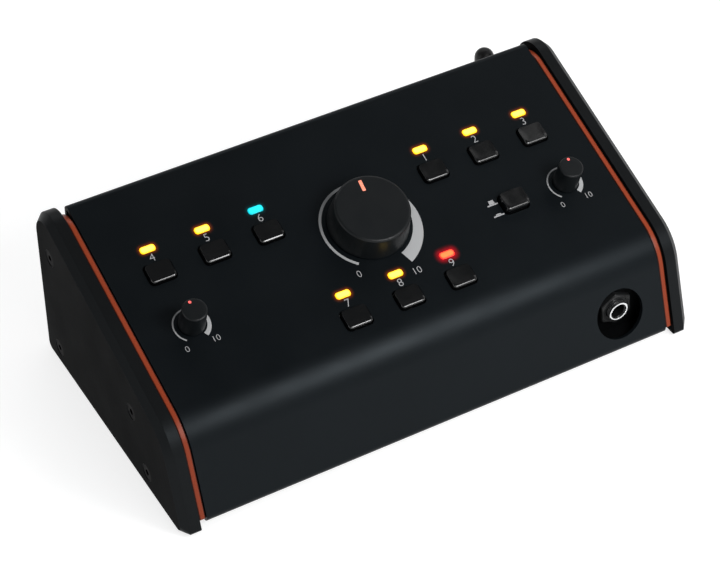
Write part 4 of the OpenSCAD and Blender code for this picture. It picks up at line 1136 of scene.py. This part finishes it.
# ------------------------------------------------------------------ studio
# What gloss mirrors: brightness against the height of the ray's direction
HORIZON_Z, HORIZON_POWER = 0.08, 1.0
OVERHEAD_Z, OVERHEAD_POWER = 0.45, 0.045
FILL_COLOUR, FILL_POWER = (0.97, 0.985, 1.0, 1.0), 0.35
PAPER_POWER = 0.74
FLOOR_HALF = 6.0


def studio_world():
    """White to the camera, a bright horizon under a dark ceiling to gloss, and a faint fill to the rest."""
    world = bpy.data.worlds.new("studio")
    world.use_nodes = True
    world.node_tree.nodes.clear()
    w = Nodes(world.node_tree)
    up = w.node("SeparateXYZ", Vector=w.node("TexCoord").outputs["Generated"]).outputs["Z"]
    fade = w.remap(up, (HORIZON_POWER, OVERHEAD_POWER), over=(HORIZON_Z, OVERHEAD_Z),
                   interpolation_type="SMOOTHSTEP")
    white = w.calc("MAXIMUM", w.node("LightPath").outputs["Is Camera Ray"], fade)
    backdrop = w.node("Background", Color=(1, 1, 1, 1), Strength=white)
    fill = w.node("Background", Color=FILL_COLOUR, Strength=FILL_POWER)
    mix = w.node("MixShader")
    for socket, v in zip(mix.inputs, (w.shown_rays(), fill.outputs[0], backdrop.outputs[0])):
        w.put(socket, v)
    w.node("OutputWorld", Surface=mix.outputs[0])
    return world


def paper_floor():
    """White paper that keeps the object's shadow."""
    m = Mat("floor_paper")
    shade = m.mix(m.noise(30.0), rgb(0.41, 0.41, 0.41), rgb(0.43, 0.43, 0.43))
    paper = m.set(color=shade, rough=0.9, spec=0.0, emit=rgb(1, 1, 1),
                  power=m.calc("MULTIPLY", m.shown_rays(), PAPER_POWER))
    bm = bmesh.new()
    bmesh.ops.create_grid(bm, x_segments=8, y_segments=8, size=FLOOR_HALF)
    floor = new_object("floor", bm)
    floor.data.materials.append(paper)


def area(name, direction, distance, size, energy, target=(0, 0, 0.03)):
    """A soft lamp that looks at its target, in metres."""
    light = bpy.data.lights.new(name, "AREA")
    light.shape, light.size, light.size_y, light.energy = "RECTANGLE", *size, energy
    d = Vector(direction).normalized()
    o = linked(name, light)
    o.location = Vector(target) + d * distance
    o.rotation_euler = (-d).to_track_quat("-Z", "Y").to_euler()


bpy.context.scene.world = studio_world()
paper_floor()
area("key_front", (0.22, -0.70, 0.62), distance=1.1, size=(0.9, 0.4), energy=4.8)
area("bend_near", (0.34, -0.62, 0.68), distance=0.45, size=(0.13, 0.18), energy=0.75,
     target=(-0.015, -0.05, 0.04))
area("side_right", (1.0, 0.1, 0.75), distance=1.2, size=(0.5, 1.0), energy=1.0)
area("side_left", (-1.0, 0.05, 0.55), distance=1.3, size=(0.5, 1.0), energy=1.6)
area("back_top", (0.28, 0.62, 0.73), distance=0.9, size=(0.9, 0.25), energy=1.5)

# ------------------------------------------------------------------ camera, fitted to the photograph
EYE_FROM_RIDGE = (-394.90, -630.45, 704.80)
EYE_TILT, EYE_TURN = 47.62, -29.78
LENS, SENSOR = 122.93, 36.0
CLIP = (0.05, 50.0)

cam = bpy.data.cameras.new("camera")
cam.lens, cam.sensor_width, cam.sensor_fit = LENS, SENSOR, "HORIZONTAL"
cam.clip_start, cam.clip_end = CLIP
camera = linked("camera", cam)
x, y, z = EYE_FROM_RIDGE
camera.location = (x * MM, (y + RIDGE_Y) * MM, (z + RIDGE_Z) * MM)
camera.rotation_euler = (math.radians(EYE_TILT), 0.0, math.radians(EYE_TURN))
bpy.context.scene.camera = camera
bpy.context.scene.view_settings.view_transform = "Standard"
